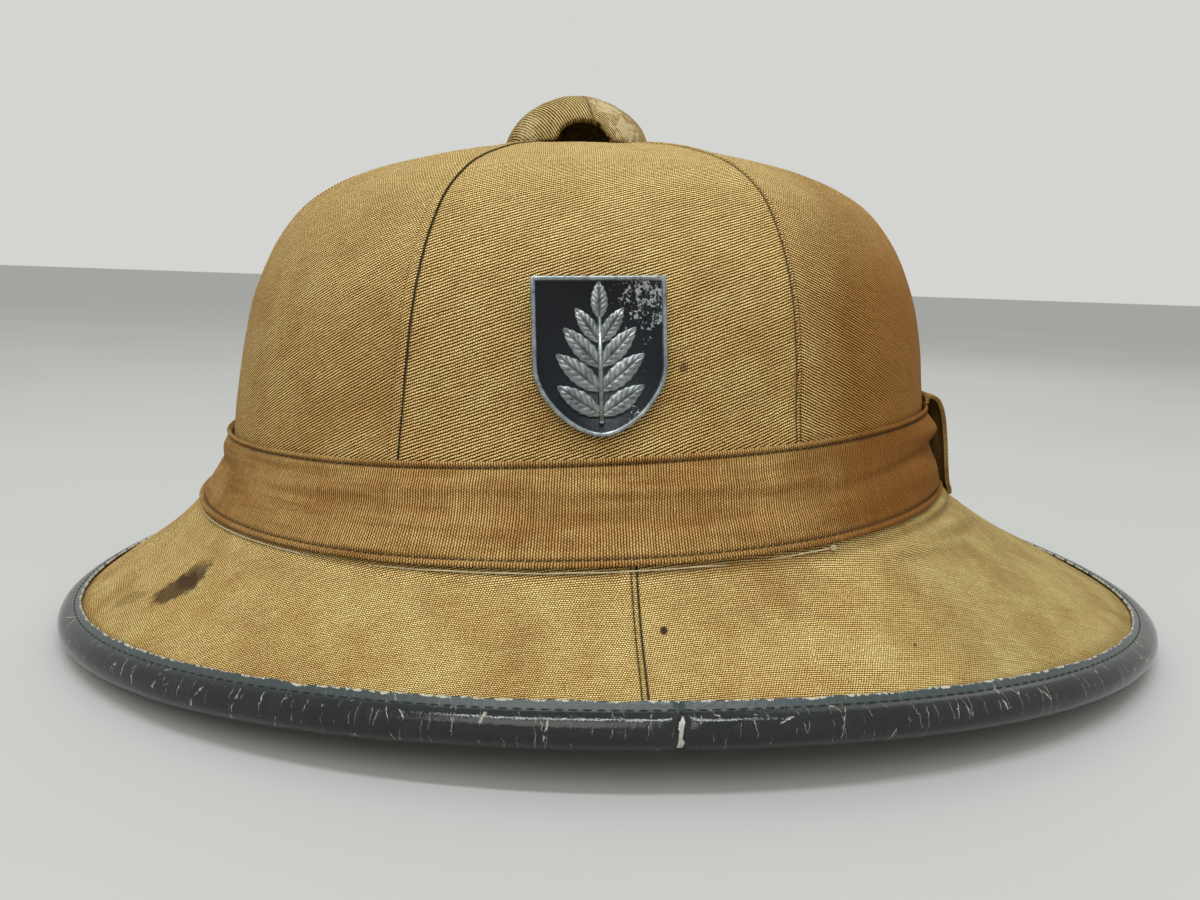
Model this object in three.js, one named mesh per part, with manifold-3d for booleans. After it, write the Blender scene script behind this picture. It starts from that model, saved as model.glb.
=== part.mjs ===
// Pith helmet: a hollow cork shell covered with canvas, with a cloth band, an air vent in the top,
// a rolled edge binding and a metal shield on its left side.
// Millimetres, +Z up. The front of the helmet faces -Y and the wearer's left side faces +X.
// The origin lies under the middle of the brim, on the surface that the helmet rests on.
import * as THREE from 'three';
import { mergeVertices } from 'three/addons/utils/BufferGeometryUtils.js';
import Module from 'manifold-3d';

// Driving dimensions of the rolled edge, along the middle of the roll
const RIM = {
  halfWidth: 128.4,
  halfLength: 170.8,
  widestY: 5.5,
  squareness: 2.07,
  sideLift: 10.1,
};

const BINDING = {
  rollRadius: 4.2,
  restFlat: 0.2,
  flange: 0.95,
  flangeReach: 5.8,
  underReach: 5.4,
  slotFloor: 0.5,
  buttAngle: 3.9,
  buttGap: 1.2,
  rollAngles: [-36, -12, 12, 36, 64, 92, 120, 148],
};

// The crown leans forward a little, so a level line on it rises by this slope towards the rear
const CROWN = {
  centreY: -13.6,
  slope: 0.024,
};

// Sections of the crown from the air hole down to the brim: height above the table, middle in Y,
// half length, half width, and how far each gore is drawn flat between its two seams
const CROWN_ROWS = [
  { height: 145.7, middle: -18.4, halfLength: 9.5, halfWidth: 9.5, flat: 0 },
  { height: 145.5, middle: -18, halfLength: 20, halfWidth: 19, flat: 0.3 },
  { height: 144.1, middle: -14.8, halfLength: 40.5, halfWidth: 32.5, flat: 0.42 },
  { height: 140.6, middle: -13.4, halfLength: 60, halfWidth: 48.6, flat: 0.4 },
  { height: 133.4, middle: -12.9, halfLength: 81.2, halfWidth: 66.4, flat: 0.32 },
  { height: 126.6, middle: -12.8, halfLength: 91.2, halfWidth: 74.8, flat: 0.26 },
  { height: 117.5, middle: -12.8, halfLength: 98.4, halfWidth: 80.8, flat: 0.2 },
  { height: 102.5, middle: -12.8, halfLength: 105.4, halfWidth: 86.8, flat: 0.15 },
  { height: 85.5, middle: -12.9, halfLength: 109.2, halfWidth: 90, flat: 0.1 },
  { height: 70, middle: -13.2, halfLength: 111.4, halfWidth: 92, flat: 0.08 },
  { height: 48.5, middle: -13.6, halfLength: 114.7, halfWidth: 101, flat: 0.05 },
  { height: 38, middle: -13.6, halfLength: 122, halfWidth: 108, flat: 0.03 },
];

// The brim from the wall to the roll: how far out, and how much of its drop is done there
const BRIM_ROWS = [
  { out: 0.13, drop: 0.17 },
  { out: 0.35, drop: 0.42 },
  { out: 0.7, drop: 0.73 },
  { out: 1, drop: 1 },
];

// Gores of the crown, from seam to seam, as angles round the crown: 0 is the left side, 90 the rear
const GORES = [
  { name: 'gore_left', from: -28, to: 24.5, columns: 8 },
  { name: 'gore_rear_left', from: 24.5, to: 90, columns: 9 },
  { name: 'gore_rear_right', from: 90, to: 155.5, columns: 9 },
  { name: 'gore_right', from: 155.5, to: 208, columns: 8 },
  { name: 'gore_front_right', from: 208, to: 270, columns: 9 },
  { name: 'gore_front_left', from: 270, to: 332, columns: 9 },
];

// Two pieces of canvas cover the brim, and lap a little behind the middle of each side
const BRIM_COVERS = [
  { name: 'brim_cover_front', from: 178.5, to: 361.5 },
  { name: 'brim_cover_rear', from: 1.5, to: 178.5 },
];

// Gores and brim canvas meet behind the band, at the joint's height; the seam welts are pressed
// flat there and under the vent cap
const CANVAS = { thickness: 0.9, seamGap: 0.4, weltHeight: 0.7, weltWidth: 4.5, joint: 46, pressedBelow: 80 };
const LAYER_GAP = 0.3;
const SHELL_THICKNESS = 3.2;

const BAND = {
  bottom: 41.5,
  bottomRise: 0.017,
  top: 64.3,
  topRise: 0.037,
  gap: 0.35,
  foldAngle: 62,
  foldSpread: 4,
  foldHeight: 2.4,
  pinched: 1.1,
};

// Section of the band from its lower rolled edge to its upper one: share of its width, and
// how far its face stands off the crown
const BAND_ROWS = [
  { share: 0, proud: 1.7 },
  { share: 0.09, proud: 2.1 },
  { share: 0.13, proud: 1.3 },
  { share: 0.36, proud: 1.8 },
  { share: 0.52, proud: 1.4 },
  { share: 0.72, proud: 1.9 },
  { share: 0.87, proud: 1.3 },
  { share: 0.91, proud: 2.1 },
  { share: 1, proud: 1.7 },
];

const KEEPER = { angle: 72.5, width: 12, thickness: 1.3 };

// Outer face of the keeper, from its seat above the band to its seat below it:
// level distance from the crown's wall, and height
const KEEPER_ROWS = [
  { proud: 0.6, height: 70 },
  { proud: 2.2, height: 70.8 },
  { proud: 4.4, height: 69.4 },
  { proud: 5.2, height: 65 },
  { proud: 5.7, height: 57 },
  { proud: 4.8, height: 49 },
  { proud: 3.5, height: 44 },
  { proud: 3, height: 41.6 },
  { proud: 2.1, height: 40.2 },
  { proud: 0.8, height: 39.8 },
];

const VENT = {
  segments: 22,
  wall: 1.8,
  slitWidth: 13.2,
  slitHeight: 6.4,
  slitStart: -6,
};

// Outer face of the vent cap, from its edge on the crown to its top
const VENT_ROWS = [
  { radius: 22.9, height: 146 },
  { radius: 22.5, height: 148.4 },
  { radius: 21.2, height: 151.2 },
  { radius: 19.2, height: 153.9 },
  { radius: 16.2, height: 156.6 },
  { radius: 12, height: 159.3 },
  { radius: 6.6, height: 161.5 },
];
const VENT_TOP = 162;

// Metal eyelet in the air hole
const EYELET = {
  tubeRadius: 7.6,
  wall: 1,
  flangeRadius: 14,
  flangeThickness: 0.8,
  seat: 144.8,
  top: 147.8,
  bottom: 140.6,
  segments: 16,
};

const BADGE = {
  width: 31.8,
  height: 38.2,
  straight: 0.56,
  topHeight: 106.2,
  along: -5.8,
  plate: 1.3,
  rim: 1.5,
  rimHeight: 0.7,
  gap: 0.35,
  relief: 0.55,
  lean: 9.4,
};

// Leaves of the plain sprig on the badge, in pairs up its stem:
// height of the leaf's foot, length, width and the angle it turns out from the stem
const LEAF_PAIRS = [
  { foot: 0.16, length: 11.5, width: 4.4, turn: 52 },
  { foot: 0.31, length: 12.5, width: 4.6, turn: 46 },
  { foot: 0.46, length: 11.5, width: 4.4, turn: 40 },
  { foot: 0.61, length: 9, width: 3.6, turn: 34 },
];
const STEM = { width: 1.3, from: 0.1, to: 0.76 };
const TOP_LEAF = { length: 8.5, width: 4 };

const COLOURS = {
  cork: { color: 0xa08560, roughness: 0.95, metalness: 0 },
  canvas: { color: 0xa38243, roughness: 0.93, metalness: 0 },
  brimCanvas: { color: 0xa08045, roughness: 0.93, metalness: 0 },
  band: { color: 0x8d6c2f, roughness: 0.92, metalness: 0 },
  binding: { color: 0x3a3b36, roughness: 0.5, metalness: 0 },
  badge: { color: 0x8b8e8f, roughness: 0.42, metalness: 0.9 },
  eyelet: { color: 0x7c838a, roughness: 0.5, metalness: 0.8 },
};

const wasm = await Module();
wasm.setup();

const lerp = THREE.MathUtils.lerp;
const radians = THREE.MathUtils.degToRad;
const UP = new THREE.Vector3(0, 0, 1);

// Angles of all columns round the helmet, seam to seam
const columnAngles = [];
for (const gore of GORES) {
  for (let i = 0; i < gore.columns; i += 1) {
    columnAngles.push(lerp(gore.from, gore.to, i / gore.columns));
  }
}
const COLUMNS = columnAngles.length;

function goreAt(angle) {
  const turned = angle < GORES[0].from ? angle + 360 : angle;
  return GORES.find((gore) => turned >= gore.from && turned < gore.to) ?? GORES[0];
}

// A point of the crown's outer face, on one of its rows
function crownPoint(row, angle) {
  const gore = goreAt(angle);
  const onEllipse = (degrees) => new THREE.Vector2(
    row.halfWidth * Math.cos(radians(degrees)),
    row.halfLength * Math.sin(radians(degrees)),
  );
  const chord = onEllipse(gore.from).lerp(onEllipse(gore.to), (angle - gore.from) / (gore.to - gore.from));
  const flat = onEllipse(angle).lerp(chord, row.flat);
  const y = row.middle + flat.y;
  return new THREE.Vector3(flat.x, y, row.height + CROWN.slope * (y - CROWN.centreY));
}

// Shares of the rim's egg shape that a plan point lies at: 1 is on the rim
function rimShare(x, y) {
  const across = Math.abs(x / RIM.halfWidth) ** RIM.squareness;
  const reach = RIM.halfLength + Math.sign(RIM.widestY - y) * RIM.widestY;
  const along = Math.abs((y - RIM.widestY) / reach) ** RIM.squareness;
  return across + along;
}

// Middle of the roll, in the direction of a column seen from the crown's centre
function rollCentre(direction) {
  let inside = 0;
  let outside = 2 * RIM.halfLength;
  for (let step = 0; step < 40; step += 1) {
    const middle = (inside + outside) / 2;
    const share = rimShare(direction.x * middle, CROWN.centreY + direction.y * middle);
    if (share < 1) inside = middle;
    else outside = middle;
  }
  const x = direction.x * inside;
  const y = CROWN.centreY + direction.y * inside;
  const lowest = BINDING.rollRadius * Math.cos(radians(BINDING.rollAngles[2])) - BINDING.restFlat;
  return new THREE.Vector3(x, y, lowest + RIM.sideLift * (x / RIM.halfWidth) ** 2);
}

// One section through the brim's edge: the roll's middle and the directions out, along the
// brim's slope (inwards and up) and square to it
function edgeSection(column) {
  const foot = crownPoint(CROWN_ROWS.at(-1), columnAngles[column]);
  const direction = new THREE.Vector2(foot.x, foot.y - CROWN.centreY).normalize();
  const turned = new THREE.Vector2(direction.x, direction.y).rotateAround(new THREE.Vector2(), 0.01);
  const centre = rollCentre(direction);
  const along = rollCentre(turned).sub(centre).setZ(0).normalize();
  const out = new THREE.Vector3(along.y, -along.x, 0);
  const last = BRIM_ROWS.at(-2);
  let end = centre.clone();
  let slope = new THREE.Vector3();
  let square = new THREE.Vector3();
  for (let pass = 0; pass < 4; pass += 1) {
    const knee = foot.clone().lerp(end, last.out).setZ(lerp(foot.z, end.z, last.drop));
    const rise = knee.z - end.z;
    const run = Math.hypot(knee.x - end.x, knee.y - end.y);
    const tilt = Math.atan2(rise, run);
    slope = out.clone().multiplyScalar(-Math.cos(tilt)).addScaledVector(UP, Math.sin(tilt));
    square = out.clone().multiplyScalar(Math.sin(tilt)).addScaledVector(UP, Math.cos(tilt));
    end = centre.clone().addScaledVector(slope, BINDING.slotFloor + LAYER_GAP);
    end.addScaledVector(square, BRIM_HALF_DEPTH);
  }
  return { foot, centre, out, slope, square, end };
}

// The brim's layers lie evenly about the middle of the roll
const BRIM_HALF_DEPTH = (CANVAS.thickness + LAYER_GAP + SHELL_THICKNESS) / 2;
const edgeSections = columnAngles.map((angle, column) => edgeSection(column));

// Outer face of the canvas: a grid of points, row by row down the crown and out over the brim
const face = CROWN_ROWS.map((row) => columnAngles.map((angle) => crownPoint(row, angle)));
for (const row of BRIM_ROWS) {
  face.push(edgeSections.map(({ foot, end }) => {
    const point = foot.clone().lerp(end, row.out);
    return point.setZ(lerp(foot.z, end.z, row.drop));
  }));
}
const CROWN_LAST = CROWN_ROWS.length - 1;
const FACE_LAST = face.length - 1;

// Outward directions on the grid, lengthened at the bends so that a layer keeps its thickness
const wrap = (column) => (column + COLUMNS) % COLUMNS;
const outwards = face.map((points, row) => points.map((point, column) => {
  const across = points[wrap(column + 1)].clone().sub(points[wrap(column - 1)]);
  const above = face[Math.max(row - 1, 0)][column];
  const below = face[Math.min(row + 1, FACE_LAST)][column];
  const sides = [];
  if (row > 0) sides.push(point.clone().sub(above).cross(across).normalize());
  if (row < FACE_LAST) sides.push(below.clone().sub(point).cross(across).normalize());
  const middle = sides.reduce((sum, side) => sum.clone().add(side)).normalize();
  return middle.divideScalar(middle.dot(sides[0]));
}));

// A point at any place between rows and between columns, moved square to the face by a distance
function facePoint(row, place, distance) {
  const upper = Math.min(Math.floor(row), FACE_LAST - 1);
  const left = Math.floor(place);
  const at = (i, j) => face[i][wrap(j)].clone().addScaledVector(outwards[i][wrap(j)], distance);
  const onRow = (i) => at(i, left).lerp(at(i, left + 1), place - left);
  return onRow(upper).lerp(onRow(upper + 1), row - upper);
}

// Place between columns of an angle round the crown
function placeOf(angle) {
  let turned = angle;
  while (turned < columnAngles[0]) turned += 360;
  let first = columnAngles.findLastIndex((columnAngle) => columnAngle <= turned);
  const start = columnAngles[first];
  const stop = first + 1 < COLUMNS ? columnAngles[first + 1] : columnAngles[0] + 360;
  if (angle < columnAngles[0]) first -= COLUMNS;
  return first + (turned - start) / (stop - start);
}

// Places of a stretch of columns from one angle to another, the ends drawn back by the seam gap
function stretch(from, to, trimFrom, trimTo) {
  const start = placeOf(from);
  let stop = placeOf(to);
  while (stop <= start) stop += COLUMNS;
  const places = [start + trimFrom];
  for (let column = Math.ceil(start + trimFrom + 0.02); column < stop - trimTo - 0.02; column += 1) {
    places.push(column);
  }
  places.push(stop - trimTo);
  return places;
}

// A closed body from a grid of points: loops[i][j], where each loop is a closed section and the
// loops follow one another; the first and last get caps, or are joined where the body is a ring
function loftLoops(loops, isRing, cap = capTriangles) {
  const size = loops[0].length;
  const positions = loops.flat().flatMap((point) => [point.x, point.y, point.z]);
  const indices = [];
  const last = isRing ? loops.length : loops.length - 1;
  for (let i = 0; i < last; i += 1) {
    const next = (i + 1) % loops.length;
    for (let j = 0; j < size; j += 1) {
      const a = i * size + j;
      const b = i * size + ((j + 1) % size);
      const c = next * size + ((j + 1) % size);
      const d = next * size + j;
      indices.push(a, b, c, a, c, d);
    }
  }
  if (!isRing) {
    for (const [loop, isStart] of [[0, true], [loops.length - 1, false]]) {
      for (const [a, b, c] of cap(loops[loop])) {
        const offset = loop * size;
        if (isStart) indices.push(offset + a, offset + c, offset + b);
        else indices.push(offset + a, offset + b, offset + c);
      }
    }
  }
  const geometry = new THREE.BufferGeometry();
  geometry.setAttribute('position', new THREE.Float32BufferAttribute(positions, 3));
  geometry.setIndex(indices);
  return pointOutwards(geometry);
}

// Triangles of a closed section, worked out in its own plane
function capTriangles(loop) {
  const normal = new THREE.Vector3();
  loop.forEach((point, j) => {
    normal.add(point.clone().cross(loop[(j + 1) % loop.length]));
  });
  normal.normalize();
  const first = loop[1].clone().sub(loop[0]).normalize();
  const second = normal.clone().cross(first);
  const flat = loop.map((point) => new THREE.Vector2(point.dot(first), point.dot(second)));
  return THREE.ShapeUtils.triangulateShape(flat, []);
}

// Triangles of a thin section, whose second half runs back beside its first
function stripTriangles(loop) {
  const triangles = [];
  const last = loop.length - 1;
  for (let j = 0; j < loop.length / 2 - 1; j += 1) {
    triangles.push([j, j + 1, last - j - 1], [j, last - j - 1, last - j]);
  }
  return triangles;
}

// Turn all faces if the body's volume comes out negative
function pointOutwards(geometry) {
  const position = geometry.getAttribute('position');
  const index = geometry.getIndex();
  const corner = [new THREE.Vector3(), new THREE.Vector3(), new THREE.Vector3()];
  let volume = 0;
  for (let i = 0; i < index.count; i += 3) {
    corner.forEach((point, k) => point.fromBufferAttribute(position, index.getX(i + k)));
    volume += corner[0].dot(corner[1].clone().cross(corner[2])) / 6;
  }
  if (volume < 0) {
    for (let i = 0; i < index.count; i += 3) {
      const second = index.getX(i + 1);
      index.setX(i + 1, index.getX(i + 2));
      index.setX(i + 2, second);
    }
  }
  return geometry;
}

// Rows from one to another, with the whole rows between them
function rowsBetween(first, last) {
  const rows = [first];
  for (let row = Math.floor(first) + 1; row < last; row += 1) rows.push(row);
  return [...rows, last];
}

// A layer of cloth or cork that follows the face over some rows: each place gives one closed
// section, out along one side and back along the other
function layer(places, rows, outer, inner, isRing) {
  const loops = places.map((place, i) => {
    const outside = rows.map((row) => facePoint(row, place, outer(row, i === places.length - 1)));
    const inside = rows.map((row) => facePoint(row, place, inner)).reverse();
    return [...outside, ...inside];
  });
  return loftLoops(loops, isRing, stripTriangles);
}

function material(look) {
  return new THREE.MeshStandardMaterial(look);
}

function toMesh(name, geometry, look) {
  const mesh = new THREE.Mesh(geometry, material(look));
  mesh.name = name;
  return mesh;
}

function shell() {
  const places = columnAngles.map((angle, column) => column);
  const outer = -(CANVAS.thickness + LAYER_GAP);
  const geometry = layer(places, rowsBetween(0, FACE_LAST), () => outer, outer - SHELL_THICKNESS, true);
  return toMesh('shell', geometry, COLOURS.cork);
}

// Length round the crown of one column, at the band, which turns a seam's width into places
function columnLength(angle) {
  const first = Math.floor(placeOf(angle));
  const row = face[CROWN_LAST - 2];
  return row[wrap(first)].distanceTo(row[wrap(first + 1)]);
}

// Row of the joint between the gores and the brim's canvas, moved down or up by half the seam gap
function jointRow(side) {
  const [above, below] = CROWN_ROWS.slice(-2);
  const height = CANVAS.joint - side * CANVAS.seamGap / 2;
  return CROWN_LAST - 1 + (above.height - height) / (above.height - below.height);
}

function gore({ name, from, to }) {
  const trim = CANVAS.seamGap / 2 / columnLength(from);
  const welt = CANVAS.weltWidth / columnLength(to - 1);
  const places = stretch(from, to, trim, trim);
  places.splice(places.length - 1, 0, places.at(-1) - welt);
  const rows = rowsBetween(1, jointRow(-1));
  const outer = (row, isWelt) => {
    if (!isWelt || row >= CROWN_LAST - 1) return 0;
    const isPressed = row === 1 || CROWN_ROWS[Math.floor(row)].height < CANVAS.pressedBelow;
    return isPressed ? CANVAS.weltHeight / 3 : CANVAS.weltHeight;
  };
  const geometry = layer(places, rows, outer, -CANVAS.thickness, false);
  return toMesh(name, geometry, COLOURS.canvas);
}

function brimCover({ name, from, to }) {
  const trim = CANVAS.seamGap / 2 / columnLength(from);
  const places = stretch(from, to, trim, trim);
  const rows = rowsBetween(jointRow(1), FACE_LAST);
  const geometry = layer(places, rows, () => 0, -CANVAS.thickness, false);
  return toMesh(name, geometry, COLOURS.brimCanvas);
}

// Point on the crown's wall at a place and a height on the crown, moved out by a distance
function wallPoint(place, height, distance) {
  let row = CROWN_LAST - 1;
  while (row > 0 && CROWN_ROWS[row].height < height) row -= 1;
  const above = CROWN_ROWS[row];
  const below = CROWN_ROWS[row + 1];
  const share = (above.height - height) / (above.height - below.height);
  return facePoint(row, place, distance).lerp(facePoint(row + 1, place, distance), share);
}

function bandSection(place) {
  const behind = facePoint(CROWN_LAST - 1, place, 0).y - CROWN.centreY;
  const bottom = BAND.bottom + BAND.bottomRise * behind;
  const top = BAND.top + BAND.topRise * behind;
  const angle = columnAngles[wrap(place)];
  const near = (middle) => Math.exp(-(((angle - middle) / BAND.foldSpread) ** 2));
  const outside = BAND_ROWS.map(({ share, proud }) => {
    const swell = share > 0.5 && share < 1 ? BAND.foldHeight * near(BAND.foldAngle) : 0;
    const pinch = (proud - BAND.pinched) * Math.min(1, 1.6 * near(KEEPER.angle));
    return wallPoint(place, lerp(bottom, top, share), proud + swell - pinch);
  });
  const inside = [1, 0.5, 0].map((share) => wallPoint(place, lerp(bottom, top, share), BAND.gap));
  return [...outside, ...inside];
}

function band() {
  const loops = columnAngles.map((angle, column) => bandSection(column));
  return toMesh('band', loftLoops(loops, true), COLOURS.band);
}

// The keeper is a flat strip bent over the band, so its side view is drawn and given a width
function keeper() {
  const place = placeOf(KEEPER.angle);
  const middle = wallPoint(place, BAND.top, 0);
  const beside = wallPoint(place + 0.5, BAND.top, 0);
  const along = beside.clone().sub(middle).setZ(0).normalize();
  const out = new THREE.Vector3(along.y, -along.x, 0);
  const drawn = KEEPER_ROWS.map(({ proud, height }) => {
    const point = wallPoint(place, height, 0);
    return new THREE.Vector2(point.clone().sub(middle).dot(out) + proud, point.z);
  });
  const inner = drawn.map((point, i) => {
    const before = drawn[Math.max(i - 1, 0)];
    const after = drawn[Math.min(i + 1, drawn.length - 1)];
    const run = after.clone().sub(before).normalize();
    return new THREE.Vector2(run.y, -run.x).multiplyScalar(KEEPER.thickness).add(point);
  });
  const outline = new THREE.Shape([...drawn, ...inner.reverse()]);
  const geometry = new THREE.ExtrudeGeometry(outline, { depth: KEEPER.width, bevelEnabled: false });
  geometry.translate(0, 0, -KEEPER.width / 2);
  const placed = new THREE.Matrix4().makeBasis(out, UP, out.clone().cross(UP));
  placed.setPosition(middle.x, middle.y, 0);
  geometry.applyMatrix4(placed);
  return toMesh('band_keeper', geometry, COLOURS.band);
}

// Section of the binding: round the roll from the under flange to the upper one, and back
// through the slot that holds the edge of the brim
function bindingSection({ centre, out, slope, square }) {
  const tilt = THREE.MathUtils.radToDeg(Math.atan2(slope.z, -slope.dot(out)));
  const slot = BRIM_HALF_DEPTH + LAYER_GAP;
  const flangeFace = slot + BINDING.flange;
  const turn = THREE.MathUtils.radToDeg(Math.acos(flangeFace / BINDING.rollRadius));
  const onRoll = (degrees) => centre.clone()
    .addScaledVector(out, BINDING.rollRadius * Math.sin(radians(degrees)))
    .addScaledVector(UP, -BINDING.rollRadius * Math.cos(radians(degrees)));
  const onBrim = (inwards, distance) => centre.clone()
    .addScaledVector(slope, inwards)
    .addScaledVector(square, distance);
  const angles = [-tilt - turn, ...BINDING.rollAngles, 180 - tilt + turn];
  const section = [
    ...angles.map(onRoll),
    onBrim(BINDING.flangeReach, flangeFace),
    onBrim(BINDING.flangeReach, slot),
    onBrim(BINDING.slotFloor, slot),
    onBrim(BINDING.slotFloor, -slot),
    onBrim(BINDING.underReach, -slot),
    onBrim(BINDING.underReach, -flangeFace),
  ];
  return section.map((point) => point.setZ(Math.max(point.z, 0)));
}

function binding() {
  const sections = edgeSections.map(bindingSection);
  const at = (place) => {
    const first = Math.floor(place);
    return sections[wrap(first)].map((point, j) => point.clone().lerp(sections[wrap(first + 1)][j], place - first));
  };
  const trim = BINDING.buttGap / 2 / columnLength(BINDING.buttAngle);
  const start = placeOf(BINDING.buttAngle);
  const places = [start + trim];
  for (let column = Math.ceil(start + trim); column < start + COLUMNS - trim; column += 1) places.push(column);
  places.push(start + COLUMNS - trim);
  return toMesh('brim_binding', loftLoops(places.map(at), false), COLOURS.binding);
}

// Turn a mesh into a solid for cutting and joining, and back
function toSolid(geometry) {
  geometry.deleteAttribute('normal');
  geometry.deleteAttribute('uv');
  const merged = mergeVertices(geometry, 1e-4);
  const vertProperties = new Float32Array(merged.getAttribute('position').array);
  const triVerts = new Uint32Array(merged.getIndex().array);
  return new wasm.Manifold(new wasm.Mesh({ numProp: 3, vertProperties, triVerts }));
}

function fromSolid(solid) {
  const { vertProperties, triVerts } = solid.getMesh();
  const geometry = new THREE.BufferGeometry();
  geometry.setAttribute('position', new THREE.BufferAttribute(vertProperties, 3));
  geometry.setIndex(new THREE.BufferAttribute(triVerts, 1));
  return geometry;
}

// A turned body, from its section as radius and height pairs
function turned(section, segments) {
  const points = section.map(([radius, height]) => new THREE.Vector2(radius, height));
  return new THREE.LatheGeometry(points, segments).rotateX(Math.PI / 2);
}

// Arched opening that lets air out at both sides under the edge of the cap
function slitTool() {
  const half = VENT.slitWidth / 2;
  const shoulder = VENT_ROWS[0].height;
  const arch = new THREE.Shape();
  arch.moveTo(-half, shoulder + VENT.slitStart);
  arch.lineTo(half, shoulder + VENT.slitStart);
  arch.lineTo(half, shoulder);
  arch.absellipse(0, shoulder, half, VENT.slitHeight, 0, Math.PI);
  arch.closePath();
  const reach = 2 * VENT_ROWS[0].radius + 20;
  const options = { depth: reach, bevelEnabled: false, curveSegments: 6 };
  const geometry = new THREE.ExtrudeGeometry(arch, options);
  geometry.translate(0, 0, -reach / 2);
  geometry.rotateX(Math.PI / 2).rotateZ(Math.PI / 2);
  return toSolid(geometry);
}

// Set a turned body over the air hole, square to the crown's top, which leans forward a little
function seatOnTop(geometry) {
  const { height, middle } = CROWN_ROWS[0];
  geometry.translate(0, middle - CROWN.centreY, -height);
  geometry.rotateX(Math.atan(CROWN.slope));
  geometry.translate(0, CROWN.centreY, height);
  return geometry;
}

function ventCap() {
  const outside = VENT_ROWS.map(({ radius, height }) => [radius, height]);
  const inside = VENT_ROWS.map(({ radius, height }, i) => {
    const share = i / VENT_ROWS.length;
    return [radius - VENT.wall * (1 - share * 0.6), height - VENT.wall * share];
  }).reverse();
  const section = [...outside, [0, VENT_TOP], [0, VENT_TOP - VENT.wall], ...inside, outside[0]];
  const dome = toSolid(turned(section, VENT.segments));
  const geometry = fromSolid(dome.subtract(slitTool()));
  return toMesh('vent_cap', seatOnTop(geometry), COLOURS.canvas);
}

function ventRing() {
  const { tubeRadius, wall, flangeRadius, flangeThickness, seat, top, bottom } = EYELET;
  const section = [
    [tubeRadius, bottom],
    [tubeRadius, seat],
    [flangeRadius, seat],
    [flangeRadius, seat + flangeThickness],
    [tubeRadius, seat + flangeThickness],
    [tubeRadius, top],
    [tubeRadius - wall, top],
    [tubeRadius - wall, bottom],
    [tubeRadius, bottom],
  ];
  const geometry = fromSolid(toSolid(turned(section, EYELET.segments)));
  return toMesh('vent_ring', seatOnTop(geometry), COLOURS.eyelet);
}

// Shield outline with a straight top, straight sides and a rounded point below, drawn in by a margin
function shieldOutline(margin) {
  const half = BADGE.width / 2 - margin;
  const top = -margin;
  const shoulder = -BADGE.height * BADGE.straight;
  const tip = -BADGE.height + margin * 1.2;
  const outline = new THREE.Shape();
  outline.moveTo(-half, top);
  outline.lineTo(-half, shoulder);
  outline.bezierCurveTo(-half, shoulder - 9, -half * 0.45, tip + 2.2, 0, tip);
  outline.bezierCurveTo(half * 0.45, tip + 2.2, half, shoulder - 9, half, shoulder);
  outline.lineTo(half, top);
  outline.closePath();
  return outline;
}

function leafOutline(length, width) {
  const outline = new THREE.Shape();
  outline.moveTo(0, 0);
  outline.quadraticCurveTo(width * 0.75, length * 0.42, 0, length);
  outline.quadraticCurveTo(-width * 0.75, length * 0.42, 0, 0);
  return outline;
}

function slab(outline, depth, lift) {
  const options = { depth, bevelEnabled: false, curveSegments: 4 };
  return new THREE.ExtrudeGeometry(outline, options).translate(0, 0, lift);
}

// Raised leaves up a stem, on the shield's field
function sprig() {
  const reliefDepth = BADGE.relief + 0.3;
  const lift = BADGE.plate - 0.3;
  const levelOf = (share) => -BADGE.height * (1 - share);
  const { width, from, to } = STEM;
  const stem = new THREE.Shape();
  stem.moveTo(-width / 2, levelOf(from));
  stem.lineTo(width / 2, levelOf(from));
  stem.lineTo(width / 2, levelOf(to));
  stem.lineTo(-width / 2, levelOf(to));
  stem.closePath();
  let solid = toSolid(slab(stem, reliefDepth, lift));
  const leaves = [{ foot: to, length: TOP_LEAF.length, width: TOP_LEAF.width, turn: 0 }];
  for (const pair of LEAF_PAIRS) leaves.push(pair, { ...pair, turn: -pair.turn });
  for (const { foot, length, width: leafWidth, turn } of leaves) {
    const leaf = slab(leafOutline(length, leafWidth), reliefDepth, lift);
    leaf.rotateZ(radians(turn)).translate(0, levelOf(foot) - 0.5, 0);
    solid = solid.add(toSolid(leaf));
  }
  return solid;
}

function badge() {
  const plate = toSolid(slab(shieldOutline(0), BADGE.plate, 0));
  const frame = shieldOutline(0);
  frame.holes.push(new THREE.Path(shieldOutline(BADGE.rim).getPoints(5)));
  const rim = toSolid(slab(frame, BADGE.rimHeight + 0.3, BADGE.plate - 0.3));
  const geometry = fromSolid(plate.add(rim).add(sprig()));
  const lean = radians(BADGE.lean);
  const out = new THREE.Vector3(Math.cos(lean), 0, Math.sin(lean));
  const along = new THREE.Vector3(0, 1, 0);
  const placed = new THREE.Matrix4().makeBasis(along, out.clone().cross(along), out);
  const top = new THREE.Vector3(0, CROWN.centreY + BADGE.along, BADGE.topHeight);
  top.x = (badgeSeat(out) - top.z * out.z) / out.x;
  placed.setPosition(top);
  geometry.applyMatrix4(placed);
  return toMesh('badge', geometry, COLOURS.badge);
}

// How far out the left gore reaches behind the badge, measured along the badge's own direction
function badgeSeat(out) {
  const reaches = [];
  for (const share of [0, 0.25, 0.5, 0.75, 1]) {
    for (const place of [-2, -1, 0, 1, 2]) {
      const height = BADGE.topHeight - BADGE.height * share;
      reaches.push(wallPoint(placeOf(0) + place, height, BADGE.gap).dot(out));
    }
  }
  return Math.max(...reaches);
}

const helmet = new THREE.Group();
helmet.add(shell());
GORES.forEach((description) => helmet.add(gore(description)));
BRIM_COVERS.forEach((description) => helmet.add(brimCover(description)));
helmet.add(band(), keeper(), ventCap(), ventRing(), binding(), badge());

export default helmet;
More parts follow.
